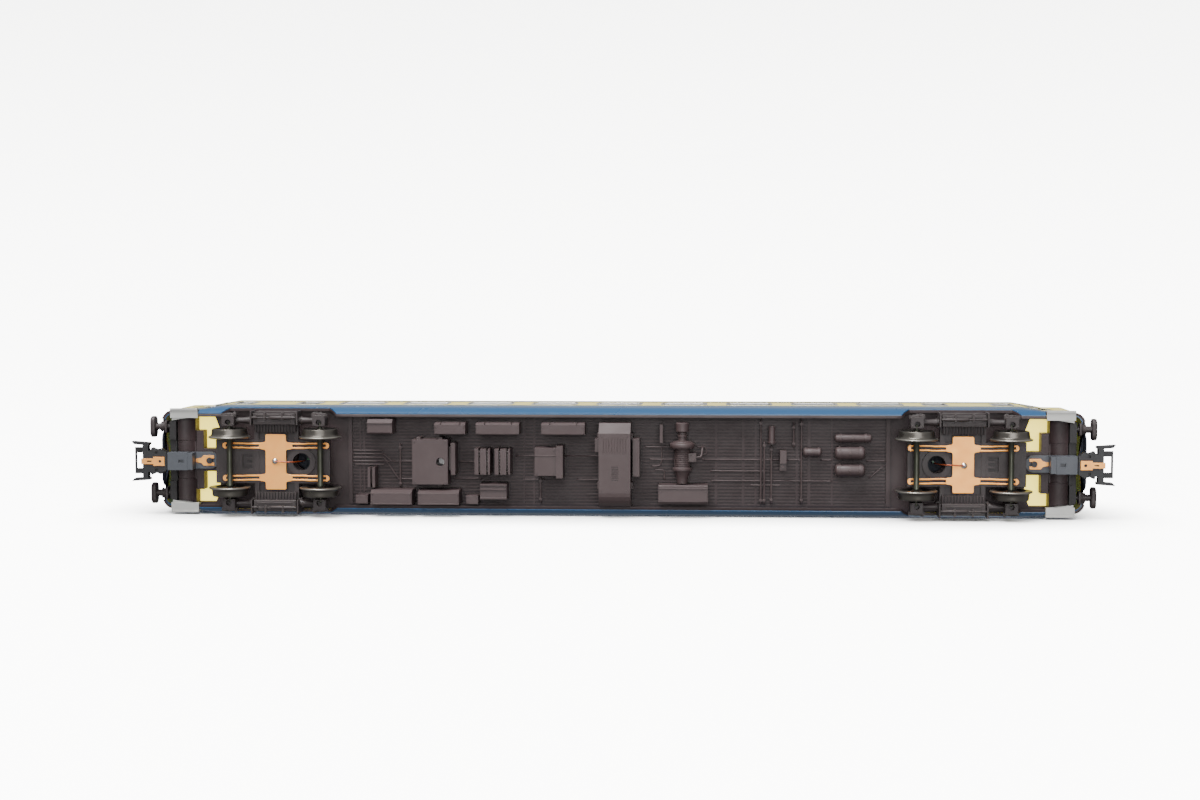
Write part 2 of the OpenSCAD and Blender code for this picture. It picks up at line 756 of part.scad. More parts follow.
// Turned compressor lying across the coach, as radius against place along Y.
module compressor() {
    x = 19.6;
    z = floor_z - 4.3;
    profile = [
        [0, -11.9], [1.9, -11.9], [1.9, -9.2], [1.2, -9.0], [1.2, -6.4], [2.6, -6.2], [3.65, -5.8],
        [3.65, -4.4], [2.3, -4.2], [2.3, 1.4], [2.9, 1.6], [2.9, 2.3], [2.2, 2.6], [1.6, 4.8], [1.6, 6.2],
        [0, 6.2]
    ];
    color("dimgray") {
        translate([x, 0, z]) rotate([-90, 0, 0]) rotate_extrude() polygon(profile);
        block([x + 2.0, -2.8, z - 1.4], [x + 4.1, -0.4, z + 1.4]);
        // Brackets that hang it from the floor
        for (y = [-5.4, 1.7]) block([x - 1.4, y, z + 1.5], [x + 1.4, y + 0.6, hang_z]);
        rod_y(x + 5.9, -4.6, -1.9, z + 1.5, 0.35);
        block([x + 4.0, -2.5, z + 0.2], [x + 6.3, -1.9, hang_z]);
    }
}

module water_tank() {
    color("dimgray") {
        bevelled_box([12.6, 27.2], [6.5, 12.2], 7.6, [0.2, 0.2], [0.8, 1.0]);
        block([12.6, 7.3, floor_z - 7.8], [27.2, 7.6, floor_z - 7.4]);
    }
}

// Brake cylinder across the coach and the distributor valve beside it.
module brake_gear() {
    color("dimgray") {
        rod_y(46.1, -10.8, -5.4, floor_z - 2.4, 0.95);
        rod_y(46.1, -6.2, -5.8, floor_z - 2.4, 1.2);
        block([45.8, -9.6, floor_z - 2.4], [46.4, -7.0, hang_z]);
        hung_box([48.5, 50.4], [-3.6, 0.2], 4.2);
        hung_box([48.5, 50.4], [0.2, 2.4], 3.2);
        translate([49.3, 1.2, floor_z - 4.0]) cylinder(h = 1.2, r = 0.5);
    }
}

// Round-ended tank along X, hung by two straps: ends, place across, radius and depth of its axis.
module tank(x, y, r, drop) {
    z = floor_z - drop;
    translate([x[0], y, z]) rotate([0, 90, 0]) rotate_extrude() polygon([
        [0, 0], [r * 0.7, 0], [r, r * 0.3], [r, x[1] - x[0] - r * 0.3], [r * 0.7, x[1] - x[0]],
        [0, x[1] - x[0]]
    ]);
    for (f = [0.16, 0.84]) {
        xs = x[0] + f * (x[1] - x[0]);
        rod_x(xs - 0.25, xs + 0.25, y, z, r + 0.12);
        block([xs - 0.25, y - r * 0.5, z], [xs + 0.25, y + r * 0.5, hang_z]);
    }
}

module air_tanks() {
    color("dimgray") {
        tank([64.6, 75.5], -7.3, 1.15, 3.0);
        tank([64.6, 73.6], -2.9, 1.85, 3.2);
        tank([64.6, 73.6], 2.2, 1.8, 3.2);
        tank([55.3, 60.8], -3.1, 1.25, 2.8);
        for (x = [57.4, 58.2]) rod_x(x, x + 0.3, -3.1, floor_z - 2.8, 1.37);
    }
}

// ---------------------------------------------------------------- bogies

plate_z = axle_z + 2.35;          // underside of the bogie's centre plate
plate_t = 1.5;
frame_end = wheelbase / 2 + 4.75;
frame_y = 11.2;                   // where the side frames meet the cross-beams
beam_x = wheelbase / 2 - flange_r - 1.4;  // cross-beams of the bogie, measured from the pivot
gauge_in = back_to_back / 2;
pickup_z = axle_z + axle_d / 2 + 0.15;
pickup_t = 0.3;

// Centre plate with cross-beams, lead ring, recesses and the boss that carries the pickup plate.
module bogie_frame() {
    plate_y = gauge_in - 0.7;
    top = plate_z + plate_t;
    difference() {
        union() {
            block([-wheelbase / 2 - 2.4, -plate_y, plate_z], [frame_end, plate_y, top]);
            for (side = [-1, 1]) {
                block([side * beam_x - 0.65, -frame_y, plate_z - 0.2], [side * beam_x + 0.65, frame_y, top + 0.6]);
            }
            block([-beam_x, -frame_y + 1.6, plate_z + 0.6], [beam_x, frame_y - 1.6, top]);
            translate([wire_hole_x, 0, plate_z - 0.7]) cylinder(h = plate_t + 1.6, r = 4.2);
            translate([0, 0, top - eps]) cylinder(h = boss_z - top - fit_gap, r = boss_r);
            block([-3.1, -8.3, pickup_z + pickup_t], [3.1, 8.3, plate_z + 0.7]);
        }
        translate([wire_hole_x, 0, plate_z - 2]) cylinder(h = plate_t + 6, r = 2.6);
        translate([0, 0, plate_z - 0.4]) cylinder(h = 6, r = pivot_d / 2);
        // Recesses in the underside on the buffer side
        for (y = [-1.6, 0, 1.6]) {
            block([beam_x + 1.4, y - 0.5, plate_z - 1], [beam_x + 3.8, y + 0.5, plate_z + 0.7]);
        }
        block([beam_x + 3.4, -2.1, plate_z - 1], [beam_x + 4.4, 2.1, plate_z + 0.7]);
    }
}

// Pin pressed into the bogie, with a split snap head above the floor.
module pivot_pin() {
    r = pivot_d / 2;
    z0 = plate_z - 0.4;
    head_z = slab_top + 0.2;
    difference() {
        union() {
            translate([0, 0, z0]) cylinder(h = head_z - z0 + 1, r = r);
            translate([0, 0, head_z]) cylinder(h = 0.8, r = r + 0.45);
        }
        block([-r - 1, -0.35, floor_z - 1], [r + 1, 0.35, slab_top + 3]);
    }
}

box_y = [10.9, 14.2];             // axle box, from its inner to its outer face

// One side frame on +Y: beam, axle boxes, springs, dampers and the comb-like bolster spring.
module side_frame() {
    bore_r = journal_d / 2 + run_gap;
    difference() {
        union() {
            block([-beam_x - 1, frame_y, axle_z + 1.9], [beam_x + 1, 14.9, axle_z + 4.6]);
            block([-beam_x - 0.4, frame_y + 0.2, axle_z - 0.8], [beam_x + 0.4, 14.5, axle_z + 2.1]);
            // Comb of springs that reaches in between the wheels
            block([-beam_x - 0.2, 9.1, axle_z + 0.9], [beam_x + 0.2, frame_y + 0.1, axle_z + 2.0]);
            for (i = [-6:6]) block([i - 0.3, 8.9, axle_z + 0.5], [i + 0.3, frame_y + 0.3, axle_z + 1.2]);
            // End flanges of the spring unit
            for (side = [-1, 1]) {
                block([side * (beam_x + 0.9) - 0.25, frame_y, axle_z - 1.4],
                      [side * (beam_x + 0.9) + 0.25, 15.3, axle_z + 4.9]);
            }
            for (side = [-1, 1]) axle_arm(side);
            // Bars of the yaw damper and the stabiliser
            rod_x(-beam_x - 1, beam_x + 1, 13.6, axle_z - 1.3, 0.55);
            for (x = [-2.4, 2.4]) block([x - 0.3, 12.6, axle_z - 1.7], [x + 0.3, 14.9, axle_z + 1]);
        }
        for (side = [-1, 1]) {
            rod_y(side * wheelbase / 2, 10, 12.5, axle_z, bore_r);
            translate([side * wheelbase / 2, 11.9, 0]) cylinder(h = axle_z, r = 0.8);
        }
    }
}

// Axle box with its guide arm, spring cup and damper at one end of a side frame.
module axle_arm(side) {
    x = side * wheelbase / 2;
    near = side * (beam_x + 0.8);
    block([min(near, x), 11.6, axle_z + 0.4], [max(near, x), 13.2, axle_z + 2.4]);
    block([x - 1.9, box_y[0], axle_z - 1.9], [x + 1.9, box_y[1], axle_z + 2.2]);
    translate([x + side * 0.4, 13.2, axle_z + 2.1]) cylinder(h = 2.0, r = 1.35);
    translate([x - side * 1.6, 14.2, axle_z - 0.6]) rotate([0, side * -18, 0]) cylinder(h = 5.0, r = 0.6);
    block([x - 2.4, 13.3, axle_z - 1.2], [x + 2.4, 15.0, axle_z + 0.2]);
}

module side_frames() {
    both_sides() side_frame();
}

// Springy sheet-metal plate with four forks whose rounded tips lie beyond the axles.
module pickup_plate() {
    tip_x = wheelbase / 2 + 1.6;
    difference() {
        union() {
            block([-3.1, -8.3, 0], [3.1, 8.3, pickup_t]);
            for (side = [-1, 1], across = [-1, 1]) {
                x0 = side > 0 ? 3.0 : -tip_x;
                x1 = side > 0 ? tip_x : -3.0;
                for (y = [4.15, 5.4]) {
                    block([x0, across * y - 0.3, 0], [x1, across * y + 0.3, pickup_t]);
                }
                intersection() {
                    translate([side * tip_x, across * 4.775, 0]) cylinder(h = pickup_t, r = 0.95);
                    block([side > 0 ? tip_x - 0.1 : -tip_x - 2, across * 4.775 - 1, -1],
                          [side > 0 ? tip_x + 2 : -tip_x + 0.1, across * 4.775 + 1, 1]);
                }
            }
        }
        // Cut corners of the plate
        for (x = [-1, 1], y = [-1, 1]) {
            translate([x * 3.1, y * 8.3, -1]) rotate([0, 0, 45]) cube([0.9, 0.9, 4], center = true);
        }
    }
    translate([0.3, 0.2, -0.35]) cylinder(h = 0.36, r = 0.75);
}

// Points along the lead, from the solder joint on the plate up through the ring of the bogie.
wire_r = 0.25;
wire_route = [
    [0.2, 0.2, -0.45], [-1.6, 0.1, -0.55], [-3.4, 0, -0.5], [-5.0, 0, -0.1], [-6.2, 0, 0.8],
    [-7.0, 0, 2.2], [-7.4, 0, 4.0], [-7.6, 0, 6.0]
];

// Ring of points of a tube at place i of a route in the XZ plane.
function ring(route, r, i, n) =
    let (a = route[max(0, i - 1)], b = route[min(len(route) - 1, i + 1)],
         along = (b - a) / norm(b - a), side = cross(along, [0, 1, 0]))
    [for (k = [0:n - 1]) route[i] + r * (cos(360 * k / n) * [0, 1, 0] + sin(360 * k / n) * side)];

// Tube swept along a route in the XZ plane.
module tube(route, r, n) {
    count = len(route);
    points = [for (i = [0:count - 1]) for (p = ring(route, r, i, n)) p];
    sides = [for (i = [0:count - 2], k = [0:n - 1])
        [i * n + k, i * n + (k + 1) % n, (i + 1) * n + (k + 1) % n, (i + 1) * n + k]];
    first = [for (k = [n - 1:-1:0]) k];
    last = [for (k = [0:n - 1]) (count - 1) * n + k];
    polyhedron(points, concat(sides, [first, last]));
}

// Half of a wheel's cross-section as radius against place across the coach.
module wheel() {
    r = tread_d / 2;
    rotate([-90, 0, 0]) rotate_extrude() polygon([
        [axle_d / 2, 0.1], [1.6, 0.1], [1.9, 0.5], [r - 1.4, 0.5], [r - 1.0, 0], [flange_r - 0.3, 0],
        [flange_r, 0.3], [flange_r, 0.5], [flange_r - 0.4, 0.75], [r + 0.15, 0.9], [r, 1.1],
        [r - 0.1, wheel_w], [r - 0.9, wheel_w], [r - 1.2, wheel_w - 0.6], [1.7, wheel_w - 0.6],
        [1.5, wheel_w], [axle_d / 2, wheel_w]
    ]);
}

module wheels(end, k) {
    at_end(end) translate([k * wheelbase / 2, 0, axle_z]) {
        both_sides() translate([0, gauge_in, 0]) wheel();
    }
}

// Axle across the bogie: thick between the wheels, with thin journals at its ends.
module axle(end, k) {
    body_y = gauge_in + wheel_w + 0.3;
    at_end(end) {
        rod_y(k * wheelbase / 2, -body_y, body_y, axle_z, axle_d / 2);
        rod_y(k * wheelbase / 2, -12.2, 12.2, axle_z, journal_d / 2);
    }
}

module bogie_frame_a() {
    color("dimgray") at_end("a") bogie_frame();
}

module bogie_frame_b() {
    color("dimgray") at_end("b") bogie_frame();
}

module pivot_pin_a() {
    color("gray") at_end("a") pivot_pin();
}

module pivot_pin_b() {
    color("gray") at_end("b") pivot_pin();
}

module side_frames_a() {
    color("dimgray") at_end("a") side_frames();
}

module side_frames_b() {
    color("dimgray") at_end("b") side_frames();
}

module pickup_plate_a() {
    color("sandybrown") at_end("a") translate([0, 0, pickup_z]) pickup_plate();
}

module pickup_plate_b() {
    color("sandybrown") at_end("b") translate([0, 0, pickup_z]) pickup_plate();
}

module pickup_wire_a() {
    color("sienna") at_end("a") translate([0, 0, pickup_z]) tube(wire_route, wire_r, 8);
}

module pickup_wire_b() {
    color("sienna") at_end("b") translate([0, 0, pickup_z]) tube(wire_route, wire_r, 8);
}

module axle_a1() {
    color("darkslategray") axle("a", 1);
}

module axle_a2() {
    color("darkslategray") axle("a", -1);
}

module axle_b1() {
    color("darkslategray") axle("b", -1);
}

module axle_b2() {
    color("darkslategray") axle("b", 1);
}

module wheels_a1() {
    color("slategray") wheels("a", 1);
}

module wheels_a2() {
    color("slategray") wheels("a", -1);
}

module wheels_b1() {
    color("slategray") wheels("b", -1);
}

module wheels_b2() {
    color("slategray") wheels("b", 1);
}

// ---------------------------------------------------------------- couplers

head_z = flange_h + coupler_h;    // centre of the coupler head
arm_z = arm_top - arm_t;
pocket_x = [pin_x + 5.8, pin_x + 11.9];
pocket_z = [head_z - 1.7, arm_z];
shank = [3.2, 1.7];               // width and height of the head's shank in the pocket
clip_t = 0.25;
groove_r = coupler_pin_d / 2 - 0.3;

// Pin in the slot of the underframe, with a head above it and a groove for the clip below.
module coupler_slider() {
    r = coupler_pin_d / 2;
    top = slab_top + 0.15;
    translate([pin_x, 0, 0]) {
        translate([0, 0, arm_z + fit_gap]) cylinder(h = top - arm_z - fit_gap + eps, r = r);
        translate([0, 0, top]) cylinder(h = 0.6, r = r + 0.7);
        translate([0, 0, arm_z - clip_t - 0.5]) cylinder(h = clip_t + 0.7, r = groove_r);
        translate([0, 0, arm_z - clip_t - 0.6]) cylinder(h = 0.4, r = r);
    }
}

// Swing arm with a round inner end and a leg, and the pocket that is fixed to the leg.
module coupler_arm() {
    arm_w = 2.5;
    color("dimgray") difference() {
        union() {
            translate([pin_x, 0, arm_z]) cylinder(h = arm_t, r = arm_w);
            block([pin_x, -arm_w, arm_z], [pocket_x[0], arm_w, arm_top]);
            block([pocket_x[0] - 1.5, -arm_w, pocket_z[0]], [pocket_x[0], arm_w, arm_top]);
        }
        translate([pin_x, 0, arm_z - 1]) cylinder(h = arm_t + 2, r = coupler_pin_d / 2 + run_gap);
    }
    color("slategray") difference() {
        block([pocket_x[0] + fit_gap / 2, -pocket_w / 2, pocket_z[0]], [pocket_x[1], pocket_w / 2, pocket_z[1]]);
        block([pocket_x[0] + 0.8, -shank[0] / 2 - run_gap, head_z - shank[1] / 2 - run_gap],
              [pocket_x[1] + 1, shank[0] / 2 + run_gap, head_z + shank[1] / 2 + run_gap]);
        // Pull-out slot in the underside
        block([pocket_x[0] + 1.2, -0.5, 0], [pocket_x[0] + 2.8, 0.5, head_z - 1]);
    }
}

// Forked clip that holds the arm on its pin.
module coupler_clip() {
    z = arm_z - clip_t;
    color("sandybrown") translate([pin_x, 0, z]) difference() {
        linear_extrude(clip_t) polygon([
            [-1.3, -1.55], [1.9, -1.55], [2.6, -0.8], [4.2, -0.5], [4.2, 0.5], [2.6, 0.8], [1.9, 1.55],
            [-1.3, 1.55]
        ]);
        block([-2, -groove_r - run_gap, -1], [0, groove_r + run_gap, 1]);
        translate([0, 0, -1]) cylinder(h = 2, r = groove_r + run_gap);
    }
}

bar_x = [pocket_x[1] + 6.0, pocket_x[1] + 7.6];
hinge_at = [pocket_x[1] + 3.6, 0, head_z + 1.85];
hinge_r = 0.4;
horn_x = pocket_x[1] + 11.0;

// Head of the coupler: shank, body, cross bar with guide horns, and two lugs for the loop.
module coupler_head() {
    z0 = head_z - 1.5;
    z1 = head_z + 1.1;
    x0 = pocket_x[1];
    difference() {
        union() {
            block([pocket_x[0] + 1.0, -shank[0] / 2, head_z - shank[1] / 2],
                  [x0 + 0.6, shank[0] / 2, head_z + shank[1] / 2]);
            translate([0, 0, z0]) linear_extrude(z1 - z0) polygon([
                [x0 + 0.3, -2.6], [x0 + 0.3, 2.6], [x0 + 2.2, 3.9], [x0 + 3.4, 3.4], [x0 + 4.9, 4.1],
                [x0 + 5.3, 3.2], [bar_x[0] + 0.2, 3.2], [bar_x[0] + 0.2, -3.2], [x0 + 5.3, -3.2],
                [x0 + 4.9, -4.1], [x0 + 3.4, -3.4], [x0 + 2.2, -3.9]
            ]);
            block([bar_x[0], -5.0, z0], [bar_x[1], 5.0, z1]);
            both_sides() translate([0, 0, z0]) linear_extrude(z1 - z0) polygon([
                [bar_x[0] - 0.4, 4.9], [bar_x[0] - 0.4, 5.6], [horn_x, 6.0], [horn_x - 0.8, 5.1], [bar_x[1], 4.9]
            ]);
            both_sides() block([hinge_at.x - 0.8, 2.6, z0 + 1], [hinge_at.x + 0.8, 3.4, hinge_at.z + 0.7]);
        }
        rod_y(hinge_at.x, -5, 5, hinge_at.z, hinge_r + run_gap);
        // Notches in the front of the body that catch the loop of the other coupler
        both_sides() block([x0 + 3.0, 2.2, z0 - 1], [x0 + 3.8, 3.0, z0 + 0.7]);
    }
}

contact_z = head_z - 1.5 - 0.3;

// Copper tongue under the head, with a hole over its rivet.
module coupler_contact() {
    x0 = pocket_x[1] + 0.9;
    translate([0, 0, contact_z]) difference() {
        union() {
            block([x0, -1.35, 0], [x0 + 3.4, 1.35, 0.3]);
            block([x0 + 3.3, -0.85, 0], [x0 + 7.1, 0.85, 0.3]);
        }
        translate([x0 + 1.4, 0, -1]) cylinder(h = 2, r = 0.45);
        block([x0 + 3.9, -0.2, -1], [x0 + 5.3, 0.2, 1]);
    }
}

// Lifting loop: hinge pin between the lugs, tongue and an open rectangular bow.
module coupler_loop() {
    z0 = hinge_at.z - 0.25;
    z1 = hinge_at.z + 0.25;
    bow_x = hinge_at.x + 1.2;
    bow_end = pocket_x[1] + 10.9;
    rod_y(hinge_at.x, -3.5, 3.5, hinge_at.z, hinge_r);
    block([hinge_at.x, -2.2, z0], [bow_x + 0.1, 2.2, z1]);
    difference() {
        union() {
            block([bow_x, -3.2, z0], [bow_end - 0.5, 3.2, z1]);
            block([bar_x[1] + 0.2, -4.0, z0], [bow_end, 4.0, z1]);
        }
        block([bar_x[1] - 0.6, -2.35, z0 - 1], [bow_end - 0.6, 2.35, z1 + 1]);
    }
}

module coupler_slider_a() {
    color("gray") at_end("a") coupler_slider();
}

module coupler_slider_b() {
    color("gray") at_end("b") coupler_slider();
}

module coupler_arm_a() {
    at_end("a") coupler_arm();
}

module coupler_arm_b() {
    at_end("b") coupler_arm();
}

module coupler_clip_a() {
    at_end("a") coupler_clip();
}

module coupler_clip_b() {
    at_end("b") coupler_clip();
}

module coupler_head_a() {
    color("black") at_end("a") coupler_head();
}

module coupler_head_b() {
    color("black") at_end("b") coupler_head();
}

module coupler_contact_a() {
    color("sandybrown") at_end("a") coupler_contact();
}

module coupler_contact_b() {
    color("sandybrown") at_end("b") coupler_contact();
}

module coupler_loop_a() {
    color("black") at_end("a") coupler_loop();
}

module coupler_loop_b() {
    color("black") at_end("b") coupler_loop();
}

// ---------------------------------------------------------------- output

body_shell();
roof();
glazing_left();
glazing_right();
interior_floor();
compartment_walls();
seats();
lighting_board();
ballast_plate();
underframe();
end_framing();
headstocks();
buffers();
gangway_a();
gangway_b();
door_steps();
transformer_box();
body_screw();
battery_boxes();
junction_boxes();
louvre_boxes();
equipment_lockers();
resistor_packs();
converter_box();
ac_unit();
compressor();
water_tank();
brake_gear();
air_tanks();
pipework();
bogie_frame_a();
pivot_pin_a();
side_frames_a();
pickup_plate_a();
pickup_wire_a();
bogie_frame_b();
pivot_pin_b();
side_frames_b();
pickup_plate_b();
pickup_wire_b();
axle_a1();
wheels_a1();
axle_a2();
wheels_a2();
axle_b1();
wheels_b1();
axle_b2();
wheels_b2();
coupler_slider_a();
coupler_arm_a();
coupler_clip_a();
coupler_head_a();
coupler_contact_a();
coupler_loop_a();
coupler_slider_b();
coupler_arm_b();
coupler_clip_b();
coupler_head_b();
coupler_contact_b();
coupler_loop_b();
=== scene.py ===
# %% [markdown]
# # A passenger coach for a small railway
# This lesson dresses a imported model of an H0 gauge passenger coach. The coach lies on its side, so that the
# underside looks at the camera. The mechanical model gives every place and every joint. We load it first, and
# measure its box, because nothing that we add may grow past it.

# %% Load the mechanical model
import json
import math

import bmesh
import bpy
import numpy as np
from mathutils import Matrix, Vector


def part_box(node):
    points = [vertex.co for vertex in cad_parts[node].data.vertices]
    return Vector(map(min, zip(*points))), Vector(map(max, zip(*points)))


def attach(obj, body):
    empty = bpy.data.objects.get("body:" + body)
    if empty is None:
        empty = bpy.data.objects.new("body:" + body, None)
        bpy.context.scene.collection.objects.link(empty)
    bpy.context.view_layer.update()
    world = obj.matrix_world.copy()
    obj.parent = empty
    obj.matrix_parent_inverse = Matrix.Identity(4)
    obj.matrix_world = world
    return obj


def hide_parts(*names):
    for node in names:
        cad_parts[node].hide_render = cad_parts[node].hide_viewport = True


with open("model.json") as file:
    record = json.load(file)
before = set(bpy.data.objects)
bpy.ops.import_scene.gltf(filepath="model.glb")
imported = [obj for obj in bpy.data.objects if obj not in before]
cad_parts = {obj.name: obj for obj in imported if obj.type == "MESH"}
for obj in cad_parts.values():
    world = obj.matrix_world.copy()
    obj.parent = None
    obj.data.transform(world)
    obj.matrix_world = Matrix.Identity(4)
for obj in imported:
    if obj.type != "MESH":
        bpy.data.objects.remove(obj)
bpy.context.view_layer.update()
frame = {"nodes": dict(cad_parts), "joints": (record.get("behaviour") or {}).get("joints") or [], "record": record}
nodes = frame["nodes"]
MM = 0.001

# %% [markdown]
# ## Camera
# The camera looks at the underside, a little from above the table. A camera is a matrix: its columns are the
# directions right, up and backwards. The table is on the +Y side of the coach, so "up" in the picture is -Y.

# %% Camera
AZIMUTH, ELEVATION, ROLL = -0.061951, 0.059562, -0.00119     # radians
AIM = Vector((-4.937, -18.417, 13.0)) * MM
DISTANCE = 550 * MM
LENS = 55.4                                                  # mm, for a sensor 36 mm wide

forward = Vector((math.sin(AZIMUTH) * math.cos(ELEVATION), math.sin(ELEVATION),
                  math.cos(AZIMUTH) * math.cos(ELEVATION)))
flat_right = Vector((math.cos(AZIMUTH), 0, -math.sin(AZIMUTH)))
flat_up = -forward.cross(flat_right)
if flat_right.cross(flat_up).dot(-forward) < 0:
    flat_up = -flat_up
right = flat_right * math.cos(ROLL) + flat_up * math.sin(ROLL)
up = flat_up * math.cos(ROLL) - flat_right * math.sin(ROLL)

camera = bpy.data.objects.new("camera", bpy.data.cameras.new("camera"))
bpy.context.scene.collection.objects.link(camera)
camera.matrix_world = Matrix((right, up, -forward)).transposed().to_4x4()
camera.location = AIM - forward * DISTANCE
camera.data.lens, camera.data.sensor_width = LENS, 36.0
camera.data.clip_start, camera.data.clip_end = 0.01, 20.0
bpy.context.scene.camera = camera
print("camera at", [round(c, 4) for c in camera.location], "up", [round(c, 3) for c in up])

# %% [markdown]
# ## Surfaces from arrays
# A shape is an array of points with two parameters. `grid` turns such an array into quads. A lathe turns a
# profile about an axis, and a tube carries a circle along a path. All lengths are in millimetres here, and
# `piece` changes them to metres once, when it makes the mesh.

# %% Grid, lathe, tube and prism
def grid(points, wrap_u=False, wrap_v=False):
    """Quads over points[u, v]: corner (i, j) joins (i+1, j), (i+1, j+1) and (i, j+1), round the end if wrapped."""
    points = np.asarray(points, float)
    nu, nv = points.shape[:2]
    i, j = np.meshgrid(np.arange(nu if wrap_u else nu - 1), np.arange(nv if wrap_v else nv - 1), indexing="ij")
    i2, j2 = (i + 1) % nu, (j + 1) % nv
    quads = np.stack([i * nv + j, i2 * nv + j, i2 * nv + j2, i * nv + j2], -1).reshape(-1, 4)
    return points.reshape(-1, 3), quads.tolist()


def joined(parts):
    """All parts as one surface: the points one after the other, the faces moved on by the points before them."""
    points, faces, start = [], [], 0
    for p, f in parts:
        points.append(np.asarray(p, float))
        faces += [[k + start for k in face] for face in f]
        start += len(p)
    return np.concatenate(points), faces


def mirrored(part, axis=1):
    """The part reflected in the plane through the origin across axis, with its faces turned back outwards."""
    points = np.array(part[0], float)
    points[:, axis] *= -1
    return points, [face[::-1] for face in part[1]]


def lathe(profile, centre, axis, sides=40):
    """Turned shape: at centre + s * axis + r * (cos a * side + sin a * across) for each (s, r) of the profile."""
    profile = np.asarray(profile, float)
    axis = np.asarray(axis, float) / np.linalg.norm(axis)
    side = np.cross(axis, [0.31, 0.17, 0.94] if abs(axis[2]) < 0.9 else [1.0, 0, 0])
    side /= np.linalg.norm(side)
    across = np.cross(axis, side)
    a = np.linspace(0, 2 * np.pi, sides, endpoint=False)
    turn = np.cos(a)[:, None] * side + np.sin(a)[:, None] * across
    points = np.asarray(centre, float) + profile[:, 0, None, None] * axis + profile[:, 1, None, None] * turn
    return grid(points, wrap_v=True)


def capped(points, wrap_v=True):
    """A grid of rings with its first and last ring filled by one face each."""
    p, f = grid(points, wrap_v=wrap_v)
    nu, nv = np.asarray(points).shape[:2]
    return p, f + [list(range(nv))[::-1], [(nu - 1) * nv + k for k in range(nv)]]


def tube(path, radius, sides=12, reference=(0, 0, 1), squash=1.0):
    """Round bar along a path: path(u) + r * (cos v * side(u) + squash * sin v * up(u)), with side = t x reference."""
    path = np.asarray(path, float)
    t = np.gradient(path, axis=0)
    t /= np.linalg.norm(t, axis=1)[:, None]
    side = np.cross(t, reference)
    side /= np.linalg.norm(side, axis=1)[:, None]
    rise = np.cross(side, t)
    v = np.linspace(0, 2 * np.pi, sides, endpoint=False)
    r = np.broadcast_to(np.asarray(radius, float), len(path))[:, None, None]
    around = np.cos(v)[None, :, None] * side[:, None] + squash * np.sin(v)[None, :, None] * rise[:, None]
    return capped(path[:, None] + r * around)


def hoop(path, radius, normal, sides=10, squash=1.0):
    """Closed tube round a flat loop whose plane has that normal; squash flattens it along the normal."""
    path = np.asarray(path, float)
    t = np.roll(path, -1, 0) - np.roll(path, 1, 0)
    t /= np.linalg.norm(t, axis=1)[:, None]
    n = np.asarray(normal, float)
    side = np.cross(t, n)
    side /= np.linalg.norm(side, axis=1)[:, None]
    v = np.linspace(0, 2 * np.pi, sides, endpoint=False)
    around = np.cos(v)[None, :, None] * side[:, None] + squash * np.sin(v)[None, :, None] * n
    return grid(path[:, None] + radius * around, wrap_u=True, wrap_v=True)


def rounded_path(corners, radius, steps=6):
    """A run of straight lines whose corners are replaced by curves: B(t) = (1-t)^2 a + 2t(1-t) c + t^2 b."""
    c = np.asarray(corners, float)
    out = [c[0]]
    t = np.linspace(0, 1, steps + 1)[:, None]
    for before, here, after in zip(c[:-2], c[1:-1], c[2:]):
        reach_a = min(radius, np.linalg.norm(before - here) * 0.49)
        reach_b = min(radius, np.linalg.norm(after - here) * 0.49)
        a = here + (before - here) / np.linalg.norm(before - here) * reach_a
        b = here + (after - here) / np.linalg.norm(after - here) * reach_b
        out += list((1 - t) ** 2 * a + 2 * t * (1 - t) * here + t ** 2 * b)
    return np.array(out + [c[-1]])


def rounded_rect(width, height, radius, steps=5, straight=3):
    """Closed loop of (across, up): four quarter circles joined by straight sides of evenly placed points."""
    w, h = width / 2 - radius, height / 2 - radius
    a = np.linspace(0, np.pi / 2, steps + 1)
    corners = []
    for k, (cx, cy) in enumerate([(1, 1), (-1, 1), (-1, -1), (1, -1)]):
        turn = a + k * np.pi / 2
        corners.append(np.stack([cx * w + radius * np.cos(turn), cy * h + radius * np.sin(turn)], -1))
    s = np.linspace(0, 1, straight + 2)[1:-1, None]
    sides = [corners[k][-1] * (1 - s) + corners[(k + 1) % 4][0] * s for k in range(4)]
    return np.concatenate([part for pair in zip(corners, sides) for part in pair])


def box(low, high):
    """Six faces between two corners; its edges are rounded later by the piece's own bevel."""
    lo, hi = np.minimum(low, high), np.maximum(low, high)
    x, y, z = (np.array([a, b], float) for a, b in zip(lo, hi))
    ring = lambda h: [[x[0], y[0], h], [x[1], y[0], h], [x[1], y[1], h], [x[0], y[1], h]]
    return capped(np.array([ring(z[0]), ring(z[1])]))


def prism(outline, start, end, axis):
    """Outline in the two other axes, in their order, carried from start to end along axis 0, 1 or 2."""
    outline = np.asarray(outline, float)
    rings = np.zeros((2, len(outline), 3))
    others = [k for k in range(3) if k != axis]
    rings[:, :, others] = outline
    rings[0, :, axis], rings[1, :, axis] = start, end
    return capped(rings)


def place(part, at, across, upward, out):
    """A part drawn in (across, up, out) set at a point with those three directions."""
    m = np.array([across, upward, out], float)
    return np.asarray(part[0]) @ m + np.asarray(at, float), part[1]


# %% Pieces
def sized(node):
    """Lowest and highest corner of a node of the mechanical model, in millimetres."""
    return [np.array(c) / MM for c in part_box(node)]


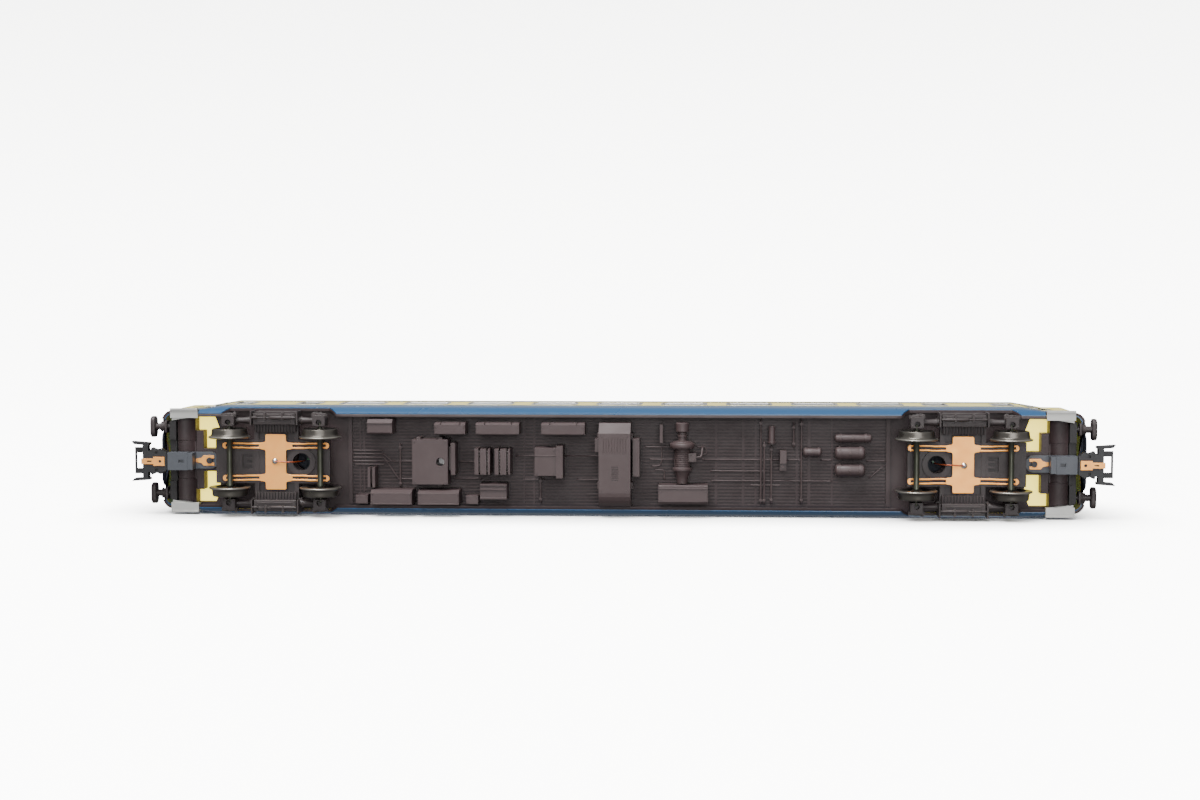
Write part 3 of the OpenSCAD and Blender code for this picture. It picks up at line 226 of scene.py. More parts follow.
def piece(name, parts, finish, body, stands_for=(), soften=0.0, angle=35, wear=None):
    """Joins parts into one object that rides on a body. soften rounds its edges by that many millimetres."""
    points, faces = joined(parts)
    mesh = bpy.data.meshes.new(name)
    mesh.from_pydata((points * MM).tolist(), [], faces)
    bm = bmesh.new()
    bm.from_mesh(mesh)
    bmesh.ops.remove_doubles(bm, verts=bm.verts, dist=0.001 * MM)
    bmesh.ops.recalc_face_normals(bm, faces=bm.faces)
    bm.to_mesh(mesh)
    bm.free()
    mesh.shade_smooth()
    if not soften:
        mesh.set_sharp_from_angle(angle=math.radians(angle))
    if wear is not None:
        co = np.zeros(len(mesh.vertices) * 3)
        mesh.vertices.foreach_get("co", co)
        values = mesh.attributes.new("wear", "FLOAT", "POINT")
        values.data.foreach_set("value", wear(co.reshape(-1, 3) / MM).astype(np.float32))
    mesh.materials.append(finish)
    obj = bpy.data.objects.new(name, mesh)
    bpy.context.scene.collection.objects.link(obj)
    if soften:
        bevel = obj.modifiers.new("soft edges", "BEVEL")
        bevel.width, bevel.segments = soften * MM, 2
        bevel.limit_method, bevel.angle_limit = "ANGLE", math.radians(28)
        bevel.harden_normals = True
    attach(obj, body)
    if stands_for:
        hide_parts(*stands_for)
    print(f"{name}: {len(mesh.polygons)} faces on {body}")
    return obj


# %% [markdown]
# ## Finishes
# The real coach is moulded plastic, some of it sprayed. Close up, such plastic has a fine grain and slightly
# lighter edges where it is handled. Its corners are darkened by a painted shade from a short ambient occlusion.
# Each of these effects is a node group that is built once. A group puts out only masks and heights, and the
# shader stays in the material.

# %% Node helpers and the shared effects
def add(tree, kind, at=(0, 0), **values):
    """Places a node and sets its inputs by name, with spaces written as underscores."""
    node = tree.nodes.new(kind)
    node.location = at
    for key, value in values.items():
        if hasattr(node, key):
            setattr(node, key, value)
        else:
            node.inputs[key.replace("_", " ")].default_value = value
    return node


def effect(name, inputs, outputs):
    """A new node group with named number inputs and outputs, and its two end nodes."""
    tree = bpy.data.node_groups.new(name, "ShaderNodeTree")
    for label, value in inputs:
        socket = tree.interface.new_socket(label, in_out="INPUT", socket_type="NodeSocketFloat")
        socket.default_value = value
    for label in outputs:
        tree.interface.new_socket(label, in_out="OUTPUT", socket_type="NodeSocketFloat")
    return tree, add(tree, "NodeGroupInput", (-800, 0)), add(tree, "NodeGroupOutput", (600, 0))


def build_grain():
    """Grain of moulded plastic: a fine noise for the bump, and a slow one that shifts the tone."""
    tree, ends, out = effect("moulded grain", [("Scale", 4000.0), ("Patch", 120.0)], ["Height", "Tone"])
    where = add(tree, "ShaderNodeTexCoord", (-800, 300))
    fine = add(tree, "ShaderNodeTexNoise", (-400, 200), Detail=3.0, Roughness=0.6)
    slow = add(tree, "ShaderNodeTexNoise", (-400, -200), Detail=4.0, Roughness=0.55)
    for noise, scale in ((fine, "Scale"), (slow, "Patch")):
        tree.links.new(where.outputs["Object"], noise.inputs["Vector"])
        tree.links.new(ends.outputs[scale], noise.inputs["Scale"])
    tree.links.new(fine.outputs["Fac"], out.inputs["Height"])
    spread = add(tree, "ShaderNodeMapRange", (100, -200), From_Min=0.3, From_Max=0.7)
    tree.links.new(slow.outputs["Fac"], spread.inputs["Value"])
    tree.links.new(spread.outputs["Result"], out.inputs["Tone"])
    return tree


def build_edge_wear():
    """Mask of rubbed edges: where the rounded normal leaves the true one, broken up by a noise."""
    tree, ends, out = effect("rubbed edges", [("Width", 0.00012), ("Break", 900.0)], ["Mask"])
    soft = add(tree, "ShaderNodeBevel", (-500, 200))
    soft.samples = 4
    tree.links.new(ends.outputs["Width"], soft.inputs["Radius"])
    true = add(tree, "ShaderNodeNewGeometry", (-500, -50))
    dot = add(tree, "ShaderNodeVectorMath", (-250, 100), operation="DOT_PRODUCT")
    tree.links.new(soft.outputs["Normal"], dot.inputs[0])
    tree.links.new(true.outputs["Normal"], dot.inputs[1])
    where = add(tree, "ShaderNodeTexCoord", (-800, -300))
    noise = add(tree, "ShaderNodeTexNoise", (-500, -300), Detail=3.0)
    tree.links.new(where.outputs["Object"], noise.inputs["Vector"])
    tree.links.new(ends.outputs["Break"], noise.inputs["Scale"])
    edge = add(tree, "ShaderNodeMapRange", (0, 100), From_Min=0.995, From_Max=0.85)
    tree.links.new(dot.outputs["Value"], edge.inputs["Value"])
    rubbed = add(tree, "ShaderNodeMath", (250, 0), operation="MULTIPLY")
    tree.links.new(edge.outputs["Result"], rubbed.inputs[0])
    tree.links.new(noise.outputs["Fac"], rubbed.inputs[1])
    tree.links.new(rubbed.outputs["Value"], out.inputs["Mask"])
    return tree


def build_corner_painted_shade():
    """Mask of painted shade in corners: 0 where the ambient occlusion over a short distance is 0.9, rising to 1 at
    0.25.
    """
    tree, ends, out = effect("corner painted shade", [("Reach", 0.0015)], ["Mask"])
    hidden = add(tree, "ShaderNodeAmbientOcclusion", (-300, 100))
    hidden.samples = 4
    tree.links.new(ends.outputs["Reach"], hidden.inputs["Distance"])
    shade = add(tree, "ShaderNodeMapRange", (0, 100), From_Min=0.9, From_Max=0.25)
    tree.links.new(hidden.outputs["AO"], shade.inputs["Value"])
    tree.links.new(shade.outputs["Result"], out.inputs["Mask"])
    return tree


GRAIN, EDGES, CORNER_SHADE = build_grain(), build_edge_wear(), build_corner_painted_shade()
print("effects:", [g.name for g in bpy.data.node_groups])


# %% A finish
def rgb(r, g, b):
    """An sRGB colour of 0 to 255 as the linear colour that a shader takes."""
    c = np.array([r, g, b], float) / 255
    return (*np.where(c <= 0.04045, c / 12.92, ((c + 0.055) / 1.055) ** 2.4), 1.0)


def blend_in(tree, base, over, mask, at, strength=1.0):
    """Mixes the colour `over` into `base` by mask * strength and gives the mixed colour's socket."""
    if strength != 1.0:
        scaled = add(tree, "ShaderNodeMath", (at[0] - 180, at[1] - 160), operation="MULTIPLY")
        scaled.inputs[1].default_value = strength
        tree.links.new(mask, scaled.inputs[0])
        mask = scaled.outputs["Value"]
    mix = tree.nodes.new("ShaderNodeMix")
    mix.data_type, mix.location = "RGBA", at
    tree.links.new(mask, mix.inputs["Factor"])
    for value, socket in ((base, mix.inputs["A"]), (over, mix.inputs["B"])):
        if isinstance(value, tuple):
            socket.default_value = value
        else:
            tree.links.new(value, socket)
    return mix.outputs["Result"]


def grouped(tree, group, at, **values):
    """A shared effect placed in a material with its own values."""
    node = add(tree, "ShaderNodeGroup", at)
    node.node_tree = group
    for key, value in values.items():
        node.inputs[key].default_value = value
    return node


def finish(name, colour, second=None, edge=None, painted_shade=None, roughness=(0.45, 0.6), metallic=0.0, grain=4000.0,
           patch=120.0, bump=0.000012, rounding=0.00008, edge_strength=0.8, painted_shade_strength=0.5, paint=None, coat=0.0):
    """A material: colour varied to `second` in patches, lighter on edges, with a painted shade in corners, and a fine
    grain.
    """
    material = bpy.data.materials.new(name)
    material.use_nodes = True
    tree = material.node_tree
    shader = tree.nodes["Principled BSDF"]
    shader.inputs["Metallic"].default_value = metallic
    shader.inputs["Coat Weight"].default_value = coat
    texture = grouped(tree, GRAIN, (-900, 0), Scale=grain, Patch=patch)
    base = paint(tree) if paint else colour
    base = blend_in(tree, base, second or tuple(c * 0.8 for c in colour[:3]) + (1.0,), texture.outputs["Tone"],
                    (-500, 300), 0.35 if paint is None else 0.08)
    # Painted shade: the corners are darkened towards the given colour by the ambient occlusion mask.
    if painted_shade:
        corners = grouped(tree, CORNER_SHADE, (-900, -250), Reach=0.0015)
        base = blend_in(tree, base, painted_shade, corners.outputs["Mask"], (-300, 300), painted_shade_strength)
    if edge:
        rubbed = grouped(tree, EDGES, (-900, -450), Width=0.00012)
        base = blend_in(tree, base, edge, rubbed.outputs["Mask"], (-100, 300), edge_strength)
    tree.links.new(base, shader.inputs["Base Color"])
    rough = add(tree, "ShaderNodeMapRange", (-500, 0))
    rough.inputs["To Min"].default_value, rough.inputs["To Max"].default_value = roughness
    tree.links.new(texture.outputs["Tone"], rough.inputs["Value"])
    tree.links.new(rough.outputs["Result"], shader.inputs["Roughness"])
    relief = add(tree, "ShaderNodeBump", (-300, -200), Strength=0.6, Distance=bump)
    tree.links.new(texture.outputs["Height"], relief.inputs["Height"])
    if rounding:
        soft = add(tree, "ShaderNodeBevel", (-500, -300), Radius=rounding)
        soft.samples = 4
        tree.links.new(soft.outputs["Normal"], relief.inputs["Normal"])
    tree.links.new(relief.outputs["Normal"], shader.inputs["Normal"])
    return material

# %% [markdown]
# The livery is blue below and cream around the windows, with a thin dark line between. The real paint stops at
# a height, so the material reads the height of each point and mixes the colours there. The gloss comes from a
# thin clear coat over the paint.

# %% Paint of the body sides
BAND_Z = 22.4 * MM          # where blue ends and cream begins
LINE_Z = 0.45 * MM          # width of the line between them


def livery(tree):
    """Blue below BAND_Z, then a thin dark line, then cream: two sharp steps on the height of the point."""
    where = add(tree, "ShaderNodeTexCoord", (-1500, 300))
    split = add(tree, "ShaderNodeSeparateXYZ", (-1300, 300))
    tree.links.new(where.outputs["Object"], split.inputs["Vector"])
    steps = []
    for level in (BAND_Z, BAND_Z + LINE_Z):
        step = add(tree, "ShaderNodeMath", (-1100, 300), operation="GREATER_THAN")
        step.inputs[1].default_value = level
        tree.links.new(split.outputs["Z"], step.inputs[0])
        steps.append(step.outputs["Value"])
    lower = blend_in(tree, BODY_BLUE, LINE_DARK, steps[0], (-900, 400))
    return blend_in(tree, lower, WINDOW_CREAM, steps[1], (-700, 400))


BODY_BLUE, WINDOW_CREAM, LINE_DARK = rgb(30, 70, 106), rgb(253, 236, 130), rgb(18, 28, 46)
body_paint = finish("body paint", BODY_BLUE, rgb(26, 64, 98), roughness=(0.25, 0.29),
                    patch=40.0, bump=0.0000005, paint=livery, coat=0.2)
roof_paint = finish("roof paint", rgb(92, 94, 96), rgb(80, 82, 84), edge=rgb(130, 130, 130),
                    roughness=(0.42, 0.55), edge_strength=0.4)

# %% Plastics and metals
# The darker colour given for the corners in these finishes is a painted shade, laid in by the ambient occlusion.
frame_grey = finish("underfloor plastic", rgb(46, 32, 33), rgb(36, 25, 26), edge=rgb(92, 72, 70),
                    painted_shade=rgb(14, 11, 12), roughness=(0.5, 0.64), edge_strength=0.55)
box_grey = finish("equipment plastic", rgb(63, 50, 50), rgb(55, 43, 44), edge=rgb(110, 92, 90),
                  painted_shade=rgb(30, 24, 25), roughness=(0.46, 0.6), edge_strength=0.6)
bogie_grey = finish("bogie plastic", rgb(48, 40, 40), rgb(36, 30, 31), edge=rgb(104, 91, 89),
                    painted_shade=rgb(20, 17, 18), roughness=(0.45, 0.62), edge_strength=0.6)
black_plastic = finish("coupler plastic", rgb(28, 28, 30), rgb(20, 20, 22), edge=rgb(78, 80, 84),
                       roughness=(0.4, 0.55), edge_strength=0.5)
pocket_grey = finish("pocket plastic", rgb(66, 69, 75), rgb(56, 59, 65), edge=rgb(104, 108, 116),
                     roughness=(0.4, 0.52), edge_strength=0.5)
rubber = finish("gangway rubber", rgb(26, 31, 44), rgb(18, 22, 32), edge=rgb(54, 60, 76), roughness=(0.6, 0.75),
                edge_strength=0.4, bump=0.00002)
pale_moulding = finish("pale moulding", rgb(255, 238, 116), rgb(252, 230, 100), roughness=(0.42, 0.55))
painted_glow = pale_moulding.node_tree.nodes["Principled BSDF"]         # painted light: the thin plastic is given an emission, as if lit through from the windows, though it is no lamp
# Painted light: the emission makes the moulding shine although it is no lamp.
painted_glow.inputs["Emission Color"].default_value = rgb(255, 232, 96)
painted_glow.inputs["Emission Strength"].default_value = 2.0
wall_moulding = finish("wall moulding", rgb(196, 168, 128), rgb(180, 150, 110), roughness=(0.45, 0.6))
seat_moulding = finish("seat moulding", rgb(150, 58, 48), rgb(120, 42, 36), painted_shade=rgb(70, 24, 20),
                       roughness=(0.6, 0.8), bump=0.00003)
board_green = finish("board lacquer", rgb(40, 104, 66), rgb(30, 84, 52), roughness=(0.25, 0.4))
step_silver = finish("step plastic", rgb(176, 176, 172), rgb(158, 158, 156), edge=rgb(225, 225, 222),
                     painted_shade=rgb(110, 108, 104), roughness=(0.35, 0.48), metallic=0.35)
copper = finish("contact bronze", rgb(255, 182, 96), rgb(236, 138, 62), edge=rgb(255, 206, 140),
                painted_shade=rgb(150, 84, 46), roughness=(0.36, 0.48), metallic=0.6, grain=2500.0, patch=260.0,
                bump=0.000004)
screw_steel = finish("screw steel", rgb(150, 150, 150), rgb(120, 120, 120), edge=rgb(220, 220, 220),
                     roughness=(0.25, 0.4), metallic=1.0)
solder = finish("solder", rgb(214, 214, 212), rgb(190, 190, 190), roughness=(0.16, 0.3), metallic=1.0, patch=700.0)
enamel = finish("enamelled wire", rgb(150, 70, 36), rgb(120, 50, 26), roughness=(0.25, 0.35), metallic=0.5, coat=0.5)
ballast_steel = finish("ballast steel", rgb(120, 118, 116), rgb(98, 96, 94), roughness=(0.35, 0.5), metallic=0.9)
headstock_dark = finish("headstock plastic", rgb(20, 17, 18), rgb(15, 13, 14), edge=rgb(64, 57, 55),
                        painted_shade=rgb(16, 14, 15), roughness=(0.5, 0.64), edge_strength=0.5)
axle_steel = finish("axle steel", rgb(74, 76, 66), rgb(58, 60, 54), edge=rgb(150, 150, 144),
                    roughness=(0.3, 0.45), metallic=0.85)
print("finishes:", len(bpy.data.materials))


# %% [markdown]
# Clear plastic lets the light through twice, so a thin pane is best mixed from a transparent part and a glossy
# part, weighted by Fresnel, which is stronger at a shallow angle.

# %% Glazing
def clear_finish():
    """Transparent pane with a grey tint, mixed with a sharp gloss by Fresnel."""
    material = bpy.data.materials.new("clear glazing")
    material.use_nodes = True
    tree = material.node_tree
    tree.nodes.remove(tree.nodes["Principled BSDF"])
    through = add(tree, "ShaderNodeBsdfTransparent", (-200, 100))
    through.inputs["Color"].default_value = (0.42, 0.40, 0.37, 1)
    gloss = add(tree, "ShaderNodeBsdfPrincipled", (-200, -100), Roughness=0.06)
    gloss.inputs["Base Color"].default_value = (0.05, 0.06, 0.06, 1)
    shine = add(tree, "ShaderNodeFresnel", (-400, 200), IOR=1.5)
    mix = add(tree, "ShaderNodeMixShader", (100, 0))
    weaker = add(tree, "ShaderNodeMath", (-200, 300), operation="MULTIPLY")
    weaker.inputs[1].default_value = 0.25
    tree.links.new(shine.outputs["Fac"], weaker.inputs[0])
    tree.links.new(weaker.outputs["Value"], mix.inputs["Fac"])
    tree.links.new(through.outputs["BSDF"], mix.inputs[1])
    tree.links.new(gloss.outputs["BSDF"], mix.inputs[2])
    tree.links.new(mix.outputs["Shader"], tree.nodes["Material Output"].inputs["Surface"])
    return material


clear = clear_finish()

# %% [markdown]
# ## Table, sky and lamps
# The coach lies on a white table that curves up behind it. The table is seen from one side only: from behind
# it is clear, so that it hides nothing when the coach is viewed from the table's side. Two large soft lamps
# and a white sky light the coach.

# %% Table
TABLE_Y = 16.4


def white_table():
    """Table plane, then a quarter circle, then a wall, as one profile carried along X."""
    bend = np.linspace(0, np.pi / 2, 25)
    r = 900.0
    flat = np.linspace(-1800, 1700, 12)
    profile = np.concatenate([np.stack([np.full(12, TABLE_Y), flat], -1),
                              np.stack([TABLE_Y - r + r * np.cos(bend), 1700 + r * np.sin(bend)], -1)[1:],
                              [[TABLE_Y - r - 2500, 1700 + r]]])
    x = np.linspace(-3500, 3500, 12)
    points = np.stack([np.broadcast_to(x[:, None], (12, len(profile))),
                       np.broadcast_to(profile[:, 0], (12, len(profile))),
                       np.broadcast_to(profile[:, 1], (12, len(profile)))], -1)
    p, f = grid(points)
    mesh = bpy.data.meshes.new("table")
    mesh.from_pydata((p * MM).tolist(), [], f)
    mesh.shade_smooth()
    table = bpy.data.objects.new("table", mesh)
    bpy.context.scene.collection.objects.link(table)
    if mesh.polygons[0].normal.y > 0:
        mesh.flip_normals()
    for ray in ("diffuse", "glossy", "transmission", "shadow"):
        setattr(table, "visible_" + ray, False)
    return table


TABLE_GLOW, SHADOW_REACH = 9.0, 0.03   # evenly lit card; a painted shadow dims it within this distance of the coach


def table_finish():
    """Pale matt card that glows evenly, is dimmed high up the wall by a painted shade and near the coach by a painted
    shadow, and is clear from behind.
    """
    material = bpy.data.materials.new("table card")
    material.use_nodes = True
    tree = material.node_tree
    card = tree.nodes["Principled BSDF"]
    card.inputs["Roughness"].default_value = 0.85
    where = add(tree, "ShaderNodeTexCoord", (-800, 0))
    noise = add(tree, "ShaderNodeTexNoise", (-600, 0), Scale=6.0, Detail=2.0)
    tree.links.new(where.outputs["Object"], noise.inputs["Vector"])
    tone = blend_in(tree, rgb(243, 243, 242), rgb(247, 247, 246), noise.outputs["Fac"], (-300, 0))
    tree.links.new(tone, card.inputs["Base Color"])
    # Painted shade: the emission falls off up the wall, from full at the table to 0.12 high up.
    split = add(tree, "ShaderNodeSeparateXYZ", (-600, -300))
    tree.links.new(where.outputs["Object"], split.inputs["Vector"])
    rise = add(tree, "ShaderNodeMapRange", (-400, -300))
    for key, value in (("From Min", -1.4), ("From Max", 0.0), ("To Min", 0.12), ("To Max", 1.0)):
        rise.inputs[key].default_value = value
    tree.links.new(split.outputs["Y"], rise.inputs["Value"])
    # Painted shadow: ambient occlusion within SHADOW_REACH dims the emission near the coach.
    near = add(tree, "ShaderNodeAmbientOcclusion", (-400, -500), Distance=SHADOW_REACH)
    near.samples = 8
    soft = add(tree, "ShaderNodeMath", (-200, -500), operation="POWER")
    soft.inputs[1].default_value = 2.4
    tree.links.new(near.outputs["AO"], soft.inputs[0])
    both = add(tree, "ShaderNodeMath", (0, -400), operation="MULTIPLY")
    tree.links.new(soft.outputs["Value"], both.inputs[0])
    tree.links.new(rise.outputs["Result"], both.inputs[1])
    painted_glow = blend_in(tree, rgb(0, 0, 0), rgb(254, 254, 252), both.outputs["Value"], (200, -300))
    tree.links.new(painted_glow, card.inputs["Emission Color"])
    card.inputs["Emission Strength"].default_value = TABLE_GLOW
    back = add(tree, "ShaderNodeNewGeometry", (-300, 300))
    through = add(tree, "ShaderNodeBsdfTransparent", (0, -200))
    mix = add(tree, "ShaderNodeMixShader", (250, 100))
    tree.links.new(back.outputs["Backfacing"], mix.inputs["Fac"])
    tree.links.new(card.outputs["BSDF"], mix.inputs[1])
    tree.links.new(through.outputs["BSDF"], mix.inputs[2])
    tree.links.new(mix.outputs["Shader"], tree.nodes["Material Output"].inputs["Surface"])
    return material


table = white_table()
table.data.materials.append(table_finish())

# %% Sky and lamps
SKY_ABOVE, SKY_BELOW = 0.66, 0.34      # light from the side away from the table, and from the table's side


def sky():
    """White sky, brighter away from the table: strength rises with the direction's -Y part."""
    world = bpy.data.worlds.new("sky")
    bpy.context.scene.world = world
    world.use_nodes = True
    tree = world.node_tree
    background = tree.nodes["Background"]
    background.inputs["Color"].default_value = (0.93, 0.94, 0.95, 1)
    where = add(tree, "ShaderNodeTexCoord", (-900, 0))
    split = add(tree, "ShaderNodeSeparateXYZ", (-700, 0))
    tree.links.new(where.outputs["Generated"], split.inputs["Vector"])
    ramp = add(tree, "ShaderNodeMapRange", (-500, 0))
    for key, value in (("From Min", -0.35), ("From Max", 0.45), ("To Min", SKY_ABOVE), ("To Max", SKY_BELOW)):
        ramp.inputs[key].default_value = value
    tree.links.new(split.outputs["Y"], ramp.inputs["Value"])
    seen = add(tree, "ShaderNodeLightPath", (-500, 300))
    plain = add(tree, "ShaderNodeMix", (-250, 100))
    plain.inputs["B"].default_value = 8.0
    tree.links.new(seen.outputs["Is Camera Ray"], plain.inputs["Factor"])
    tree.links.new(ramp.outputs["Result"], plain.inputs["A"])
    tree.links.new(plain.outputs["Result"], background.inputs["Strength"])


def lamp(name, at, target, size, power, colour=(1, 1, 1)):
    """A square soft lamp at one point, turned to another; both in millimetres."""
    data = bpy.data.lights.new(name, "AREA")
    data.energy, data.size, data.color = power, size * MM, colour
    obj = bpy.data.objects.new(name, data)
    bpy.context.scene.collection.objects.link(obj)
    obj.location = Vector(at) * MM
    obj.rotation_mode = "QUATERNION"
    obj.rotation_quaternion = (Vector(target) - Vector(at)).to_track_quat("-Z", "Y")
    return obj


sky()
lamp("main lamp", (-250, -1100, -480), (0, 0, 10), 600, 30.0)
lamp("front lamp", (150, -300, -1300), (0, 0, 10), 900, 12.5)

# %% [markdown]
# ## Finishes of the mechanical nodes
# A node whose shape is right keeps it, and only gets its finish. The material's own bevel node rounds its edges
# in the light, as moulded edges are rounded.

# %% One finish for each material slot
SLOT_FINISH = {
    "body_paint": body_paint, "roof_paint": roof_paint, "clear_glazing": clear, "pale_moulding": pale_moulding,
    "wall_moulding": wall_moulding, "seat_moulding": seat_moulding, "circuit_board": board_green,
    "ballast_steel": ballast_steel, "frame_plastic": frame_grey, "equipment_plastic": box_grey,
    "bogie_plastic": bogie_grey, "gangway_rubber": rubber, "step_plastic": step_silver, "screw_steel": screw_steel,
    "contact_bronze": copper, "enamelled_wire": enamel, "axle_steel": axle_steel, "wheel_metal": axle_steel,
    "coupler_plastic": black_plastic, "pocket_plastic": pocket_grey,
}
NODE_FINISH = {"headstocks": headstock_dark}
for part in frame["record"]["subparts"]:
    node = nodes[part["node"]]
    if not node.material_slots:
        node.data.materials.append(SLOT_FINISH[part["material_slot"]])
    for slot in node.material_slots:
        slot.material = NODE_FINISH.get(part["node"], SLOT_FINISH[part["material_slot"]])

# %% [markdown]
# ## Wheels and axles
# A wheel is turned from a bar, so a lathe surface is the natural way to make it. The flange and the tread run
# on the rail and are bright, while the rest keeps its dark plating. The mesh carries that wear as an attribute,
# worked out from each point's distance from the axle.

# %% Places of the bogies
JOINT = {j["name"]: j for j in frame["joints"]}
PIVOT_X = JOINT["bogie_b_swivel"]["pos_m"][0] / MM
AXLE_Z = JOINT["wheelset_b1_spin"]["pos_m"][2] / MM
HALF_BASE = JOINT["wheelset_b2_spin"]["pos_m"][0] / MM - PIVOT_X
WHEEL_BACK = 7.2
ENDS = {"a": -1, "b": 1}
print("pivots at", PIVOT_X, "axles at", HALF_BASE, "from them,", AXLE_Z, "high")


def at_end(part, end):
    """A part drawn from the pivot of end b, set at an end: end a is the same turned half round about Z."""
    points = np.array(part[0], float)
    points[:, :2] *= ENDS[end]
    points[:, 0] += ENDS[end] * PIVOT_X
    return points, part[1]


def both_sides(parts):
    """The parts and their reflections across the coach."""
    return list(parts) + [mirrored(p) for p in parts]


def eased(profile, rounds=2):
    """Corner cutting: each inner corner is replaced by points a quarter and three quarters along its two sides."""
    p = np.asarray(profile, float)
    for _ in range(rounds):
        a, b = p[:-1], p[1:]
        cut = np.stack([a * 0.75 + b * 0.25, a * 0.25 + b * 0.75], 1).reshape(-1, 2)
        p = np.concatenate([p[:1], cut[1:-1], p[-1:]])
    return p


# %% Wheel metal and wheels
def wheel_finish():
    """Dark plating that turns to bright metal where the wear attribute is high."""
    material = finish("wheel metal", rgb(70, 66, 62), rgb(48, 46, 43), edge=rgb(170, 166, 158),
                      roughness=(0.26, 0.42), metallic=0.9, patch=400.0, edge_strength=0.5)
    tree = material.node_tree
    shader = tree.nodes["Principled BSDF"]
    plated = shader.inputs["Base Color"].links[0].from_socket
    worn = add(tree, "ShaderNodeAttribute", (-500, 600), attribute_name="wear")
    mixed = blend_in(tree, plated, rgb(150, 146, 138), worn.outputs["Fac"], (100, 500), 0.85)
    tree.links.new(mixed, shader.inputs["Base Color"])
    return material


wheel_metal = wheel_finish()
TREAD = [[0.1, 0.85], [0.1, 1.55], [0.45, 1.95], [0.5, 3.7], [0.0, 4.3], [0.0, 5.8], [0.15, 6.12], [0.38, 6.25],
         [0.62, 6.08], [0.85, 5.55], [1.15, 5.27], [2.6, 5.17], [2.9, 5.0], [2.9, 4.4], [2.3, 4.1], [2.25, 1.9],
         [2.55, 1.6], [2.9, 1.45], [2.9, 0.85]]


def wheel_wear(x):
    """Wear 1 on the flange's rim and a quarter on the tread, by distance from the axle at x: two ramps added."""
    def wear(p):
        """Wear at each point of p."""
        reach = np.hypot(p[:, 0] - x, p[:, 2] - AXLE_Z)
        return 0.25 * np.clip((reach - 4.9) / 0.2, 0, 1) + 0.75 * np.clip((reach - 5.7) / 0.3, 0, 1)
    return wear


AXLE = [[-12.2, 0.0], [-12.1, 0.28], [-11.8, 0.5], [-10.4, 0.5], [-10.3, 0.82], [-7.3, 0.82], [-7.1, 0.98],
        [-6.4, 0.98], [-6.2, 0.85], [-3.0, 0.85], [0, 0.85]]
axle_profile = np.array(AXLE + [[-s, r] for s, r in AXLE[-2::-1]])
for end, sign in ENDS.items():
    for k, side in (("1", -1), ("2", 1)):
        x = JOINT[f"wheelset_{end}{k}_spin"]["pos_m"][0] / MM
        rim = lathe(eased(TREAD), [x, WHEEL_BACK, AXLE_Z], [0, 1, 0], 72)
        closing = lathe([TREAD[-1], TREAD[0]], [x, WHEEL_BACK, AXLE_Z], [0, 1, 0], 72)
        piece(f"wheel_pair_{end}{k}", both_sides([rim, closing]), wheel_metal, f"wheelset_{end}{k}",
              stands_for=[f"wheels_{end}{k}"], wear=wheel_wear(x), angle=50)
        piece(f"turned_axle_{end}{k}", [lathe(axle_profile, [x, 0, AXLE_Z], [0, 1, 0], 32)], axle_steel,
              f"wheelset_{end}{k}", stands_for=[f"axle_{end}{k}"])

# %% [markdown]
# ## Side frames of the bogies
# A side frame is one moulding on the model, but it shows many things: the beam, a row of flat springs like a
# comb, axle boxes on guide arms, coil springs in cups, and dampers. Each is drawn once from the pivot, then
# reflected across the bogie and set at both ends. A coil spring is a tube along a helix.

# %% Small fittings
def coil(centre, height, radius, wire, turns, sides=8):
    """Coil spring: a tube along (R cos a, R sin a, h a / (2 pi turns)) for a from 0 to 2 pi turns."""
    a = np.linspace(0, 2 * np.pi * turns, int(turns * 20))
    path = np.stack([radius * np.cos(a), radius * np.sin(a), height * a / a[-1]], -1) + np.asarray(centre, float)
    return tube(path, wire, sides)


def bolt(at, axis, size=0.32, height=0.22):
    """Hexagon head with a small chamfer: a lathe with six sides."""
    return lathe([[-0.05, 0], [-0.05, size], [height * 0.7, size], [height, size * 0.8], [height, 0]], at, axis, 6)


def drilled_box(low, high, centre, radius, depth):
    """Box with a round hole in its underside: rings from the top edge, down the sides, in to the hole and up it."""
    lo, hi = np.array(low, float), np.array(high, float)
    size, middle = hi - lo, (hi + lo) / 2
    outer = rounded_rect(size[0], size[1], 0.25, 3, 4)
    angle = np.linspace(0, 2 * np.pi, len(outer), endpoint=False)
    start = np.arctan2(outer[0, 1], outer[0, 0])
    inner = np.stack([np.cos(angle + start), np.sin(angle + start)], -1) * radius + np.array(centre) - middle[:2]
    levels = [(outer * 0.97, hi[2]), (outer, hi[2] - 0.12), (outer, lo[2] + 0.12), (outer * 0.96, lo[2]),
              (inner * 1.0, lo[2]), (inner, lo[2] + depth)]
    rings = np.array([np.column_stack([loop + middle[:2], np.full(len(loop), z)]) for loop, z in levels])
    return capped(rings)


def damper(start, end, radius):
    """Telescopic damper: a wide barrel and a thin rod as one turned profile between two eyes."""
    start, end = np.array(start, float), np.array(end, float)
    length = np.linalg.norm(end - start)
    profile = np.array([[0, 0], [0, 0.6], [0.06, 0.8], [0.1, 0.8], [0.12, 1.0], [0.56, 1.0], [0.58, 0.75],
                        [0.6, 0.45], [0.88, 0.45], [0.9, 0.8], [0.98, 0.8], [1.0, 0.6], [1.0, 0]])
    return lathe(profile * [length, radius], start, end - start, 20)


